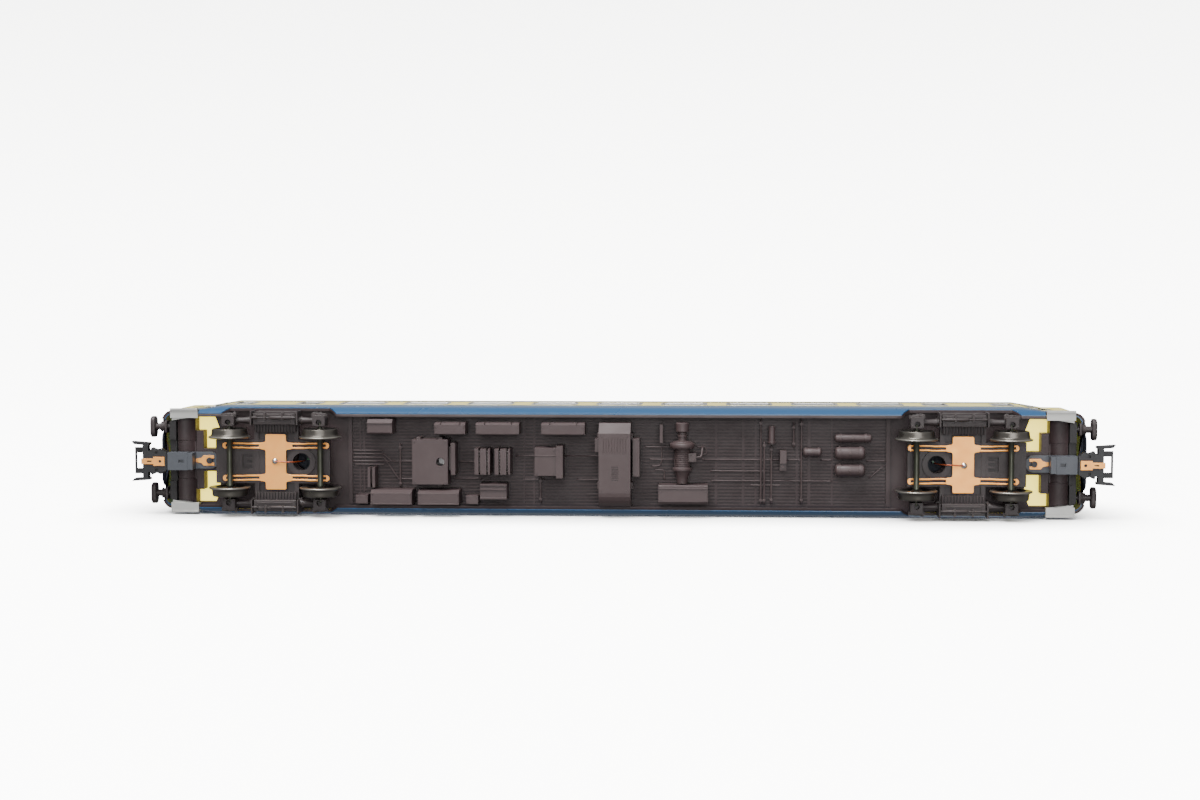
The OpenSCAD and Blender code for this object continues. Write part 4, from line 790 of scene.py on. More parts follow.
# %% One side frame, drawn on the +Y side
def side_frame_parts():
    """Beam and spring plank, coil springs, comb, axle boxes with arms, springs and dampers, and bolts."""
    a = AXLE_Z
    parts = [
        box([-6.9, 11.2, a + 2.6], [6.9, 14.9, a + 4.6]),                    # beam
        box([-6.3, 11.3, a - 0.7], [6.3, 12.3, a + 2.8]),                    # inner wall
        box([-6.3, 11.4, a - 0.8], [6.3, 14.6, a + 0.1]),                    # spring plank
        box([-5.8, 14.3, a + 3.0], [5.8, 15.1, a + 4.2]),                    # outer rail
        box([-5.2, 11.9, a - 1.0], [5.2, 12.3, a - 0.7]), box([-5.2, 13.9, a - 1.0], [5.2, 14.3, a - 0.7]),
        box([-5.4, 11.9, a - 1.0], [-5.0, 14.3, a - 0.7]), box([5.0, 11.9, a - 1.0], [5.4, 14.3, a - 0.7]),
        box([-6.2, 9.1, a + 1.0], [6.2, 11.3, a + 2.0]),                     # comb's back
    ]
    for i in np.linspace(-5.9, 5.9, 14):                                     # comb's teeth
        parts.append(tube([[i, 8.95, a + 0.75], [i, 9.3, a + 0.62], [i, 11.4, a + 0.62]], 0.27, 8))
    for x in (-4.1, -1.4, 1.4, 4.1):                                         # bolster springs
        parts.append(coil([x, 13.4, a + 0.05], 2.6, 0.78, 0.17, 5))
        parts.append(lathe([[0, 0], [0, 0.45], [2.6, 0.45], [2.6, 0]], [x, 13.4, a], [0, 0, 1], 12))
    for s in (-1, 1):
        x = s * HALF_BASE
        near = s * 6.8
        parts += [
            box([s * 6.7, 11.2, a - 1.3], [s * 7.15, 15.3, a + 4.8]),        # end flanges of the spring unit
            box([s * 6.2, 10.9, a + 1.8], [s * 7.6, 11.6, a + 4.4]),
            tube([[near, 12.4, a + 1.7], [near + s * 1.6, 12.4, a + 1.6], [near + s * 3.4, 12.4, a + 1.3],
                  [x - s * 1.4, 12.4, a + 1.0]], [1.1, 1.0, 0.85, 0.95], 14),
            lathe([[0, 0], [0, 1.05], [0.5, 1.15], [0.9, 1.15], [1.1, 0.9], [1.1, 0]], [s * 7.1, 12.4, a + 1.7],
                  [s, 0, 0], 20),                                            # root of the guide arm
            drilled_box([x - 1.9, 10.9, a - 1.9], [x + 1.9, 14.2, a + 2.2], [x, 12.0], 0.85, 1.6),
            lathe([[0, 0], [0, 1.5], [0.35, 1.5], [0.5, 1.3], [0.62, 0.5], [0.62, 0]], [x, 14.15, a], [0, 1, 0], 24),
            lathe([[0, 0], [0, 1.3], [0.3, 1.35], [0.45, 1.0], [0.45, 0]], [x + s * 0.4, 13.2, a + 2.1],
                  [0, 0, 1], 20),
            coil([x + s * 0.4, 13.2, a + 2.3], 1.7, 1.0, 0.2, 3.2),
            lathe([[0, 0], [0, 0.6], [1.7, 0.6], [1.7, 0]], [x + s * 0.4, 13.2, a + 2.3], [0, 0, 1], 14),
            lathe([[0, 0], [0, 1.3], [0.35, 1.3], [0.5, 1.0], [0.5, 0]], [x + s * 0.4, 13.2, a + 3.8], [0, 0, 1], 20),
            damper([x - s * 2.0, 14.5, a - 0.9], [x - s * 0.5, 14.4, a + 4.1], 0.55),
            box([x - 2.3, 13.6, a - 1.2], [x + 2.3, 14.6, a - 0.4]),
        ]
        for dx in (-1.45, 1.45):
            parts.append(bolt([x + dx, 14.15, a + 1.5], [0, 1, 0], 0.26))
            parts.append(bolt([x + dx, 11.5, a - 1.85], [0, 0, -1], 0.22))
            parts.append(bolt([s * 7.12, 12.4 + dx * 0.9, a + 3.6], [s, 0, 0], 0.24))
    parts += [damper([-6.6, 13.4, a - 1.35], [6.6, 13.4, a - 1.35], 0.52)]   # stabiliser
    for x in (-2.6, 2.6):
        parts.append(box([x - 0.3, 12.7, a - 1.8], [x + 0.3, 14.9, a - 0.6]))
        parts.append(bolt([x, 13.4, a - 1.75], [0, 0, -1], 0.25))
    return parts


frame_side = side_frame_parts()
for end in ENDS:
    piece(f"side_frame_pair_{end}", [at_end(p, end) for p in both_sides(frame_side)], bogie_grey, f"bogie_{end}",
          stands_for=[f"side_frames_{end}"], soften=0.09)

# %% [markdown]
# ## Pickup: solder joint and lead
# A drop of solder has a domed top because molten metal pulls itself round. The lead leaves it and rises through
# the ring of the bogie in one smooth curve.

# %% Solder joint, lead and bolts on the bogie
PICKUP_Z = 7.25
LEAD = [[0.2, 0.2, -0.45], [-1.6, 0.1, -0.55], [-3.4, 0, -0.5], [-5.0, 0, -0.1], [-6.2, 0, 0.8], [-7.0, 0, 2.2],
        [-7.4, 0, 4.0], [-7.6, 0, 6.0]]
for end in ENDS:
    dome = lathe([[0.05, 0.0], [0.05, 0.95], [-0.1, 0.9], [-0.25, 0.75], [-0.45, 0.5], [-0.58, 0.25], [-0.62, 0]],
                 [0.25, 0.2, PICKUP_Z], [0, 0, 1], 24)
    piece(f"solder_joint_{end}", [at_end(dome, end)], solder, f"bogie_{end}")
    route = rounded_path(np.array(LEAD) + [0, 0, PICKUP_Z], 1.2, 4)
    piece(f"pickup_lead_{end}", [at_end(tube(route, 0.2, 12, (0, 1, 0)), end)], enamel, f"bogie_{end}",
          stands_for=[f"pickup_wire_{end}"])
    heads = [bolt([sx * 4.6, sy * 9.9, 9.15], [0, 0, -1], 0.36) for sx in (-1, 1) for sy in (-1, 1)]
    heads += [bolt([x, sy * 5.2, 8.6], [0, 0, -1], 0.3) for x in (9.2, 16.4, -14.2) for sy in (-1, 1)]
    piece(f"bogie_bolts_{end}", [at_end(p, end) for p in heads], bogie_grey, f"bogie_{end}")

# %% [markdown]
# The pickup is one stamped strip of bronze: a plate with rounded corners, a tab at each side that narrows into
# two thin fingers, and a half-round tip that presses on the wheel. The fingers are slightly bent by hand.

# %% Bronze pickups
def finger(side, y, kink):
    """Flat strip along x at height y that steps sideways by kink on the way, as a squashed round bar."""
    path = [[side * 4.6, y, 0], [side * 8.6, y, 0], [side * 9.8, y + kink, 0.06], [side * 15.3, y + kink, 0.0]]
    return rounded_path(path, 0.9)


def pickup_parts(low, high):
    """Plate outline with rounded corners, eight fingers and four tips, between the heights low and high."""
    quarter = [[3.1, 8.3], [3.1, 5.95], [5.0, 5.74], [5.0, 3.8], [3.1, 3.6]]
    right = quarter + [[x, -y] for x, y in quarter[::-1]]
    corners = [[0, 8.3, 0]] + [[x, y, 0] for x, y in right] + [[-x, y, 0] for x, y in right[::-1]] + [[0, 8.3, 0]]
    outline = np.asarray(rounded_path(corners, 0.62))[:-1, :2]
    parts = [prism(outline, low, high, 2)]
    for side in (-1, 1):
        for row in (-1, 1):
            for y, kink in ((4.15, 0.12), (5.4, 0.12)):
                bar, faces = tube(finger(side, row * y, row * kink), 0.31, 8, (0, 0, 1), 0.42)
                parts.append((bar + [0, 0, (low + high) / 2], faces))
            a = np.linspace(-np.pi / 2, np.pi / 2, 13)
            tip = np.stack([side * (15.15 + 0.98 * np.cos(a)), row * 4.9 + 0.98 * np.sin(a)], -1)
            parts.append(prism(tip[::side], low, high, 2))
    return parts


for end in ENDS:
    plate_high = sized(f"pickup_plate_{end}")[1]
    strip = pickup_parts(plate_high[2] - 0.25, plate_high[2])
    piece(f"bronze_pickup_{end}", [at_end(p, end) for p in strip], copper, f"bogie_{end}",
          stands_for=[f"pickup_plate_{end}"], soften=0.05, angle=40)

# %% [markdown]
# ## Underfloor pipes
# The pipes lie just under the fine ribs of the floor. A pipe never ends in the air: it turns up into the floor
# or runs into a box. So each path gets two extra points above its ends, and the corners are rounded.

# %% Pipes
RIBS_Z = 15.1


def laid_pipe(points, r, drop=0.0, turn=0.7):
    """Pipe along flat points at r below the ribs, with its ends turned up into the floor."""
    z = RIBS_Z - drop - r
    flat = [[x, y, z] for x, y in points]
    ends = [[*points[0], RIBS_Z + 0.3]], [[*points[-1], RIBS_Z + 0.3]]
    path = rounded_path(np.array(ends[0] + flat + ends[1]), turn, 5)
    lean = np.array([0.02, 0.03, 0.0]) * np.linspace(0, 1, len(path))[:, None] ** 2
    return tube(path + lean, r, 10, (0.37, 0.79, 0.1))


LONG = [(-79.7, -71, -2.9), (-79.7, -70.4, -1.9), (-79.7, -70.2, -0.8), (-79.7, -60.9, 0.3), (-79, -70.4, 1.3),
        (-66, -60.9, 5.6), (-47.7, -42.1, 0.3), (-49, -41, 5.4), (-30, -24.3, -1.5), (-28, -22, 5.6),
        (-15.6, -5.1, -1.5), (-12, -5.1, 5.6), (8.6, 16.4, -4.3), (10, 17, -0.6), (25.6, 48.3, -0.6),
        (50.6, 55, -0.6), (28, 45, 2.8), (28.4, 63.9, 5.7), (40, 48.6, 7.0), (74.2, 79.7, -0.4), (60.9, 63.9, -0.6)]
ACROSS = [(42.9, -12.6, 12.6), (43.9, -6, 12.6), (46.0, -4.8, 12.4), (52.6, -11.4, -4.4), (54.9, -12.4, 12.4),
          (-22.9, 4.9, 12.6), (-65.3, -5, 8)]
BENT = [[(-70.3, -0.8), (-65.9, 5.6)], [(-70.5, -1.9), (-67.8, 0.3)], [(74.9, 4.8), (78.9, 1.4)],
        [(13.4, -4.2), (13.4, 0.2), (12.8, 1.3), (10.6, 1.5)],
        [(24.0, -4.3), (26.4, -4.4), (26.9, -2.4), (24.9, -1.9)],
        [(11.5, 2.6), (14.2, 2.6), (14.2, 5.4)]]
pipes = [laid_pipe([(x0, y), (x1, y)], 0.23) for x0, x1, y in LONG]
pipes += [laid_pipe([(x, y0), (x, y1)], 0.26, drop=0.5) for x, y0, y1 in ACROSS]
pipes += [laid_pipe(points, 0.2) for points in BENT]
for x, y0, y1 in ACROSS:                                                     # saddles over the cross pipes
    for y in (y0 + 1.1, y1 - 1.1):
        pipes.append(box([x - 0.45, y - 0.28, RIBS_Z - 1.12], [x + 0.45, y + 0.28, RIBS_Z + 0.1]))
piece("bent_pipes", pipes, box_grey, "coach", stands_for=["pipework"], angle=50)

# %% [markdown]
# ## Tanks and compressor
# Pressure vessels have domed ends. The dome is a quarter of an ellipse, so the tank is one lathe profile: dome,
# straight wall, dome. Two straps hold each tank.

# %% Air tanks
FLOOR_Z = 15.5


def air_tank(x0, x1, y, r, drop):
    """Domed lathe along X with a seam ring, two straps and their lugs up to the floor."""
    z = FLOOR_Z - drop
    t = np.linspace(0, np.pi / 2, 7)
    left = np.stack([x0 + 0.45 * r * (1 - np.cos(t)), r * np.sin(t)], -1)
    profile = np.concatenate([left, [[x0 + x1 - px, pr] for px, pr in left[::-1]]])
    parts = [lathe(profile, [0, y, z], [1, 0, 0], 36)]
    for f in (0.16, 0.84):
        xs = x0 + f * (x1 - x0)
        parts += [lathe([[xs - 0.3, r - 0.1], [xs - 0.3, r + 0.12], [xs + 0.3, r + 0.12], [xs + 0.3, r - 0.1]],
                        [0, y, z], [1, 0, 0], 36),
                  box([xs - 0.28, y - r * 0.55, z + 0.2], [xs + 0.28, y + r * 0.55, RIBS_Z])]
        parts += [bolt([xs, y + s * (r + 0.05), z], [0, s, 0], 0.2) for s in (-1, 1)]
    xm = (x0 + x1) / 2
    parts.append(lathe([[xm - 0.08, r - 0.05], [xm - 0.05, r + 0.05], [xm + 0.05, r + 0.05], [xm + 0.08, r - 0.05]],
                       [0, y, z], [1, 0, 0], 36))
    parts.append(lathe([[0, 0], [0, 0.3], [0.5, 0.3], [0.55, 0]], [xm, y, z - r + 0.1], [0, 0, -1], 6))
    return parts


tanks = sum((air_tank(*t) for t in ((64.6, 75.5, -7.3, 1.15, 3.0), (64.6, 73.6, -2.9, 1.85, 3.2),
                                    (64.6, 73.6, 2.2, 1.8, 3.2), (55.3, 60.8, -3.1, 1.25, 2.8))), [])
piece("domed_tanks", tanks, box_grey, "coach", stands_for=["air_tanks"], angle=40)

# %% Compressor
COMPRESSOR = [[-11.9, 0], [-11.9, 1.6], [-11.7, 1.9], [-9.3, 1.9], [-9.1, 1.6], [-9.0, 1.2], [-8.4, 1.2],
              [-8.3, 1.45], [-7.7, 1.45], [-7.6, 1.2], [-6.6, 1.25], [-6.3, 2.6], [-6.1, 2.7], [-5.8, 3.5],
              [-5.6, 3.65], [-4.6, 3.65], [-4.4, 3.5], [-4.2, 2.5], [-3.9, 2.3], [1.2, 2.3], [1.4, 2.5],
              [1.6, 2.9], [2.2, 2.9], [2.4, 2.5], [3.6, 2.0], [4.8, 1.65], [6.2, 1.6], [6.2, 0]]
CX, CZ = 19.6, FLOOR_Z - 4.3
parts = [lathe(COMPRESSOR, [CX, 0, CZ], [0, 1, 0], 56)]
parts += [lathe([[y - 0.12, 2.25], [y - 0.09, 2.45], [y + 0.09, 2.45], [y + 0.12, 2.25]], [CX, 0, CZ], [0, 1, 0], 48)
          for y in np.linspace(-3.4, 0.8, 8)]
for a in np.linspace(0, 2 * np.pi, 10, endpoint=False):
    spot = [CX + 3.1 * np.cos(a), -4.35, CZ + 3.1 * np.sin(a)]
    parts += [bolt(spot, [0, 1, 0], 0.25), bolt([CX + 2.6 * np.cos(a), 2.2, CZ + 2.6 * np.sin(a)], [0, 1, 0], 0.2)]
parts += [box([CX + 1.8, -2.9, CZ - 1.4], [CX + 4.1, -0.3, CZ + 1.4]),
          box([CX - 1.4, -5.4, CZ + 1.5], [CX + 1.4, -4.8, RIBS_Z]),
          box([CX - 1.4, 1.7, CZ + 1.5], [CX + 1.4, 2.3, RIBS_Z]),
          tube(rounded_path([[CX + 3.6, -1.6, CZ], [CX + 5.6, -1.6, CZ], [CX + 5.9, -3.2, CZ + 0.6],
                             [CX + 5.9, -4.4, CZ + 1.6], [CX + 5.9, -4.5, RIBS_Z]], 0.8), 0.33, 12, (0.2, 0.3, 1)),
          bolt([CX + 2.6, -2.2, CZ - 1.38], [0, 0, -1], 0.2), bolt([CX + 3.5, -0.9, CZ - 1.38], [0, 0, -1], 0.2)]
piece("turned_compressor", parts, box_grey, "coach", stands_for=["compressor"], angle=40)

# %% [markdown]
# ## Fittings of the equipment cases
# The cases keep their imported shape. What makes them look built are the small things on them: screw heads at the
# corners of lids, hinges and latches on doors, and ribs. They are one piece that rides on the coach.

# %% Case fittings
def lid_screws(x, y, z, inset=0.7, size=0.2):
    """Four screw heads at the corners of a lid that faces down."""
    return [bolt([px, py, z], [0, 0, -1], size, 0.16) for px in (x[0] + inset, x[1] - inset)
            for py in (y[0] + inset, y[1] - inset)]


def grille(x, y, z, count, along="x"):
    """Thin raised bars over a face that looks down, as round-backed tubes sunk by half."""
    if along == "x":
        return [tube([[x[0], v, z], [(x[0] + x[1]) / 2, v, z - 0.01], [x[1], v, z]], 0.1, 8)
                for v in np.linspace(*y, count)]
    return [tube([[v, y[0], z], [v, (y[0] + y[1]) / 2, z - 0.01], [v, y[1], z]], 0.1, 8)
            for v in np.linspace(*x, count)]


fittings = lid_screws((-60.7, -50.0), (-6.8, 6.6), FLOOR_Z - 7.5)
fittings += lid_screws((-24.1, -17.8), (-4.4, 3.9), FLOOR_Z - 7.0)
fittings += lid_screws((12.6, 27.2), (7.6, 11.6), FLOOR_Z - 7.6)
for x in ((-73.1, -60.8), (-58.9, -46.7)):
    fittings += lid_screws(x, (9.0, 12.6), FLOOR_Z - 8.2, 0.5)
    fittings += [lathe([[x[0] + f * 12 - 0.6, 0], [x[0] + f * 12 - 0.6, 0.22], [x[0] + f * 12 + 0.6, 0.22],
                        [x[0] + f * 12 + 0.6, 0]], [0, 12.75, FLOOR_Z - 3.0], [1, 0, 0], 12) for f in (0.2, 0.8)]
for x in ((-54.0, -44.8), (-41.6, -28.7), (-22.1, -9.2), (-74.2, -66.7)):
    y_face = -11.85 if x[0] > -60 else -12.75
    fittings += lid_screws(x, (y_face + 0.9, -8.3), FLOOR_Z - (7.4 if x[0] > -60 else 7.2), 0.5)
    for f in (0.3, 0.72):
        at = x[0] + f * (x[1] - x[0])
        fittings.append(box([at - 0.35, y_face - 0.1, FLOOR_Z - 5.4], [at + 0.35, y_face + 0.2, FLOOR_Z - 4.9]))
fittings += grille((-3.6, 3.0), (-7.6, -3.0), FLOOR_Z - 9.0, 9, "y")
fittings += lid_screws((-4.6, 4.0), (-8.6, 8.6), FLOOR_Z - 9.0, 0.5)
fittings += lid_screws((5.0, 7.0), (-7.2, 4.0), FLOOR_Z - 7.0, 0.4, 0.15)
for x in (-78.1, -44.8):
    fittings += lid_screws((x, x + 3.6), (10.1, 12.6), FLOOR_Z - 5.5, 0.45, 0.15)
for x in (-42.0, -36.0):
    for y in np.linspace(-3.2, 2.8, 7):
        fittings.append(lathe([[x + 1.1, 0], [x + 1.1, 0.22], [x + 4.1, 0.22], [x + 4.1, 0]],
                              [0, y, FLOOR_Z - 6.75], [1, 0, 0], 10))
piece("case_fittings", fittings, box_grey, "coach", angle=30)

# %% [markdown]
# ## Body sides
# The side wall is a curve in section and has sixteen windows, so it is not one simple grid. It is built as
# bands: a lower band down to the skirt, a band of window cells, and a band up to the eaves. A window cell is a
# ring: its inner loop is the rounded opening, and its outer loop is a rectangle with the same number of points.
# All bands share the same places along the wall, so the seams close.

# %% The wall as a function of length, height and depth
shell_low, shell_high = sized("body_shell")
HALF_W, BODY_END, SKIRT_Z, EAVES_Z = shell_high[1], shell_high[0], shell_low[2], shell_high[2]
TAPER_X, TAPER, CORNER_R, WALL_T = 120.0, 2.3, 2.5, 1.1
TUCK_H, TUCK_R = 4.2, 5.8


def half_plan():
    """Points along the +X, +Y quarter of the plan, and the length along it at each of them."""
    a = np.linspace(0, np.pi / 2, 9)
    x, y = BODY_END - CORNER_R, HALF_W - TAPER - CORNER_R
    corner = np.stack([x + CORNER_R * np.sin(a), y + CORNER_R * np.cos(a)], -1)
    points = np.concatenate([[[0, HALF_W], [TAPER_X, HALF_W]], corner, [[BODY_END, 0]]])
    return points, np.concatenate([[0], np.cumsum(np.linalg.norm(np.diff(points, axis=0), axis=1))])


PLAN, PLAN_U = half_plan()
PLAN_N = np.gradient(PLAN, axis=0)[:, ::-1] * [-1, 1]
PLAN_N = -PLAN_N / np.linalg.norm(PLAN_N, axis=1)[:, None]
PLAN_N[[0, 1, -1]] = [[0, 1], [0.04, 1], [1, 0]]
END_U = PLAN_U[-1]


def wall(u, z, depth=0.0):
    """Point of the wall at length u from the middle, height z and depth in from its face. Below the tuck height
    the wall curves in as R - sqrt(R^2 - h^2), where h is the distance below it."""
    u, z, depth = np.broadcast_arrays(*(np.asarray(v, float) for v in (u, z, depth)))
    along = np.abs(u)
    x, y = np.interp(along, PLAN_U, PLAN[:, 0]), np.interp(along, PLAN_U, PLAN[:, 1])
    nx, ny = np.interp(along, PLAN_U, PLAN_N[:, 0]), np.interp(along, PLAN_U, PLAN_N[:, 1])
    below = np.clip(SKIRT_Z + TUCK_H - z, 0, TUCK_H)
    tuck = TUCK_R - np.sqrt(TUCK_R ** 2 - below ** 2)
    y = np.minimum(y - ny * depth, HALF_W - tuck - depth)
    return np.stack([np.sign(u) * (x - nx * depth), np.maximum(y, 0), z], -1)


# %% Windows and the cells around them
SILL_Z, WINDOW_H, WINDOW_R, MARGIN = 25.0, 10.2, 1.2, 1.0
WINDOWS = [(i * 19.82, 13.4) for i in range(-4, 5)]
WINDOWS += [(s * x, w) for s in (-1, 1) for x, w in ((95.8, 6.9), (116.0, 6.1), (127.8, 7.3))]
WINDOWS.sort()
MID_Z = SILL_Z + WINDOW_H / 2


def window_loop(width, height, radius, reach=0.0):
    """Closed loop round a window: quarter circles joined by sides, or, with reach, their carry to a rectangle."""
    w, h = width / 2 - radius, height / 2 - radius
    t = np.linspace(0, 1, 7)
    corners = []
    for sx, sz, turn in ((1, 1, 1), (-1, 1, -1), (-1, -1, 1), (1, -1, -1)):
        k = t[::turn]
        if reach:
            across, rise = reach * np.minimum(1, 2 - 2 * k), reach * np.minimum(1, 2 * k)
        else:
            across, rise = radius * np.cos(k * np.pi / 2), radius * np.sin(k * np.pi / 2)
        corners.append(np.stack([sx * (w + across), sz * (h + rise)], -1))
    s = np.linspace(0, 1, 5)[1:-1, None]
    sides = [corners[k][-1] * (1 - s) + corners[(k + 1) % 4][0] * s for k in range(4)]
    return np.concatenate([part for pair in zip(corners, sides) for part in pair])


def cell_loops(centre, width):
    """The opening and the border of a window's cell, in (u, z)."""
    middle = np.array([centre, MID_Z])
    return (window_loop(width, WINDOW_H, WINDOW_R) + middle,
            window_loop(width, WINDOW_H, WINDOW_R, MARGIN + WINDOW_R) + middle)


BAND_LOW, BAND_HIGH = SILL_Z - MARGIN, SILL_Z + WINDOW_H + MARGIN
RAISED_U = (84.0, 86.5, 116.5, 119.0)        # the lower edge rises over the first two and falls over the last two
STEP = 0.02                                  # length over which a short step up is made
RISES_U = [u + d for u in (PIVOT_X + 24.4, END_U - 12.1) for d in (0, STEP)]


def skirt_bottom(u):
    """Height of the lower edge: deep between the bogies and under the doors' inner part, raised elsewhere."""
    return np.interp(np.abs(u), [*RAISED_U, *RISES_U], [11.0, 13.5, 13.5, 11.0, 11.0, 14.0, 14.0, 15.2])


def body_wall():
    """All bands of the +Y half, outside and inside, with the edges and the window reveals between them, and on
    its own the dark lip that wraps the lower edge."""
    cells = [cell_loops(*w) for w in WINDOWS]
    rows = np.sort(np.unique(np.round(cells[0][1][:, 1], 6)))
    us = {0.0, -END_U, END_U}
    for _, border in cells:
        us |= set(np.round(border[:, 0], 6))
    for s in (-1, 1):
        us |= {s * u for u in (*RAISED_U, 85.2, 117.7, *RISES_U)} | set(np.round(s * PLAN_U[1:-1], 6))
    us = np.array(sorted(us))
    low_rows = np.array([11, 11.6, 12.3, 13.0, 13.8, 14.5, 15.2, 16.2, 18.0, 21.0, BAND_LOW])
    z_low = np.maximum(low_rows[None, :], skirt_bottom(us)[:, None])
    parts = []
    for depth, turned in ((0.0, False), (WALL_T, True)):
        z_top = np.array([[BAND_HIGH, 37.6, EAVES_Z]])
        skins = [grid(wall(us[:, None], z_low, depth)), grid(wall(us[:, None], z_top, depth))]
        edges = [-END_U] + [v for c, w in WINDOWS for v in (c - w / 2 - MARGIN, c + w / 2 + MARGIN)] + [END_U]
        for left, right in zip(edges[::2], edges[1::2]):
            inside = us[(us > left - 1e-4) & (us < right + 1e-4)]
            skins.append(grid(wall(inside[:, None], rows[None, :], depth)))
        for opening, border in cells:
            rings = np.stack([opening, opening * 0.5 + border * 0.5, border])
            skins.append(grid(wall(rings[..., 0], rings[..., 1], depth), wrap_v=True))
        parts += [(p, [q[::-1] for q in f]) if turned else (p, f) for p, f in skins]
    depths = np.array([0.0, 0.25, 0.6, WALL_T])[:, None]
    for opening, _ in cells:
        parts.append(grid(wall(opening[None, :, 0], opening[None, :, 1], depths), wrap_v=True))
    parts.append(grid(wall(us[None, :], np.full((1, len(us)), EAVES_Z), np.array([0.0, WALL_T])[:, None])))
    parts.append(grid(wall(us[None, :], z_low[None, :, 0], np.array([0.0, WALL_T])[:, None])))
    lip = grid(wall(us[None, :], z_low[None, :, 0] + np.array([0.5, -0.04, -0.04, 0.5])[:, None],
                    np.array([0.32, 0.32, WALL_T + 0.03, WALL_T + 0.03])[:, None]))
    return parts, lip


half, lip = body_wall()
piece("painted_body", both_sides(half), body_paint, "coach", stands_for=["body_shell"],
      angle=38)
piece("skirt_lip", both_sides([lip]), frame_grey, "coach", angle=50)

# %% [markdown]
# ## Trim on the sides
# Window frames, door seals, rails and the gutter stand a little proud of the paint. Each is a small profile
# carried round a loop or along a path on the wall.

# %% Window frames
def frame_ring(centre, width, height, radius, profile, mid_z=None):
    """Profile of (outward, depth) pairs carried round a rounded opening: loop(width + 2 outward) at that depth."""
    middle = np.array([centre, MID_Z if mid_z is None else mid_z])
    loops = [window_loop(width + 2 * d, height + 2 * d, max(radius + d, 0.1)) + middle for d, _ in profile]
    points = [wall(loop[:, 0], loop[:, 1], depth) for loop, (_, depth) in zip(loops, profile)]
    return grid(points, wrap_u=True, wrap_v=True)


SEAL = [(-0.22, 0.55), (-0.24, 0.05), (-0.16, -0.08), (0.0, -0.12), (0.22, -0.12), (0.34, -0.06), (0.38, 0.08)]
aluminium = finish("window frames", rgb(176, 178, 178), rgb(156, 158, 158), edge=rgb(220, 220, 220),
                   roughness=(0.3, 0.42), metallic=0.8)
frames = [frame_ring(c, w, WINDOW_H, WINDOW_R, SEAL) for c, w in WINDOWS]
for c, w in WINDOWS:                                         # bar between the fixed pane and the top light
    if w > 10:
        bar = np.array([[c - w / 2 + 0.1, 32.2], [c, 32.2], [c + w / 2 - 0.1, 32.2]])
        frames.append(tube(wall(bar[:, 0], bar[:, 1], 0.25), 0.22, 8))
piece("window_frames", both_sides(frames), aluminium, "coach", angle=40)

# %% Doors, rails and gutter
DOOR_U, DOOR_W, DOOR_LOW, DOOR_HIGH = 127.9, 9.6, 15.4, 37.8
GROOVE = [(-0.16, 0.02), (-0.12, -0.07), (0.0, -0.11), (0.12, -0.07), (0.16, 0.02)]
doors, metal = [], []
for s in (-1, 1):
    doors.append(frame_ring(s * DOOR_U, DOOR_W, DOOR_HIGH - DOOR_LOW, 0.7, GROOVE, (DOOR_HIGH + DOOR_LOW) / 2))
    doors.append(frame_ring(s * DOOR_U, 6.4, 5.6, 0.5, GROOVE, 19.6))
    for u in (s * DOOR_U - 5.6, s * DOOR_U + 5.6):                      # grab rails
        zs = np.array([17.0, 17.0, 17.3, 24.0, 30.7, 31.0, 31.0])
        out = np.array([0.1, -0.45, -0.62, -0.62, -0.62, -0.45, 0.1])
        metal.append(tube(wall(u, zs, out), 0.17, 8, (1, 0, 0.01)))
    handle = np.array([[s * (DOOR_U - 3.9), 23.2], [s * (DOOR_U - 3.4), 23.2], [s * (DOOR_U - 2.2), 23.2]])
    metal.append(tube(wall(handle[:, 0], handle[:, 1], np.array([-0.1, -0.35, -0.38])), 0.2, 8))
piece("door_seals", both_sides(doors), rubber, "coach", angle=50)
piece("grab_rails", both_sides(metal), aluminium, "coach", angle=50)

gutter_u = np.sort(np.concatenate([np.linspace(-TAPER_X, TAPER_X, 41), PLAN_U[1:-1], -PLAN_U[1:-1], [-END_U, END_U]]))
gutter = tube(wall(np.unique(gutter_u), EAVES_Z - 0.1, -0.05), 0.3, 10)
piece("gutter", both_sides([gutter]), roof_paint, "coach", angle=50)

# %% [markdown]
# ## Roof
# The roof is one grid: across it a flattened curve, along it the plan, which narrows at the ends. Seams between
# the roof sheets are small waves added to the height, and the ventilators are turned caps.

# %% Roof
ROOF_TOP = sized("roof")[1][2]


def roof_shape():
    """Height = eaves + rise * (1 - |sin|^2.5)^(1/2.2) across; half width from the plan; seams every 22 mm."""
    seams = [c + np.array([-0.5, -0.25, 0, 0.25, 0.5]) for c in np.arange(-121, 122, 22.0)]
    x = np.unique(np.round(np.concatenate([np.linspace(-BODY_END, BODY_END, 61), *seams]), 4))
    q = np.linspace(-1, 1, 41)
    across = np.sin(q * np.pi / 2)
    rise = (1 - np.abs(across) ** 2.5) ** (1 / 2.2)
    width = np.interp(np.abs(x), PLAN[:, 0], PLAN[:, 1])
    width[[0, -1]] = PLAN[-2, 1]
    seam = 0.09 * np.clip(1 - np.abs((x + 11) % 22 - 11) / 0.45, 0, 1)
    ends = 1 - 0.06 * np.clip((np.abs(x) - 128) / 9, 0, 1) ** 2
    top = ROOF_TOP - EAVES_Z - 0.1
    y = width[:, None] * across
    z = EAVES_Z + 0.15 + (top * ends + seam)[:, None] * rise
    outer = np.stack([np.broadcast_to(x[:, None], y.shape), y, z], -1)
    rings = np.concatenate([outer, outer[:, ::-1] * [1, 0.94, 0] + [0, 0, EAVES_Z + 0.1]], axis=1)
    return capped(rings)


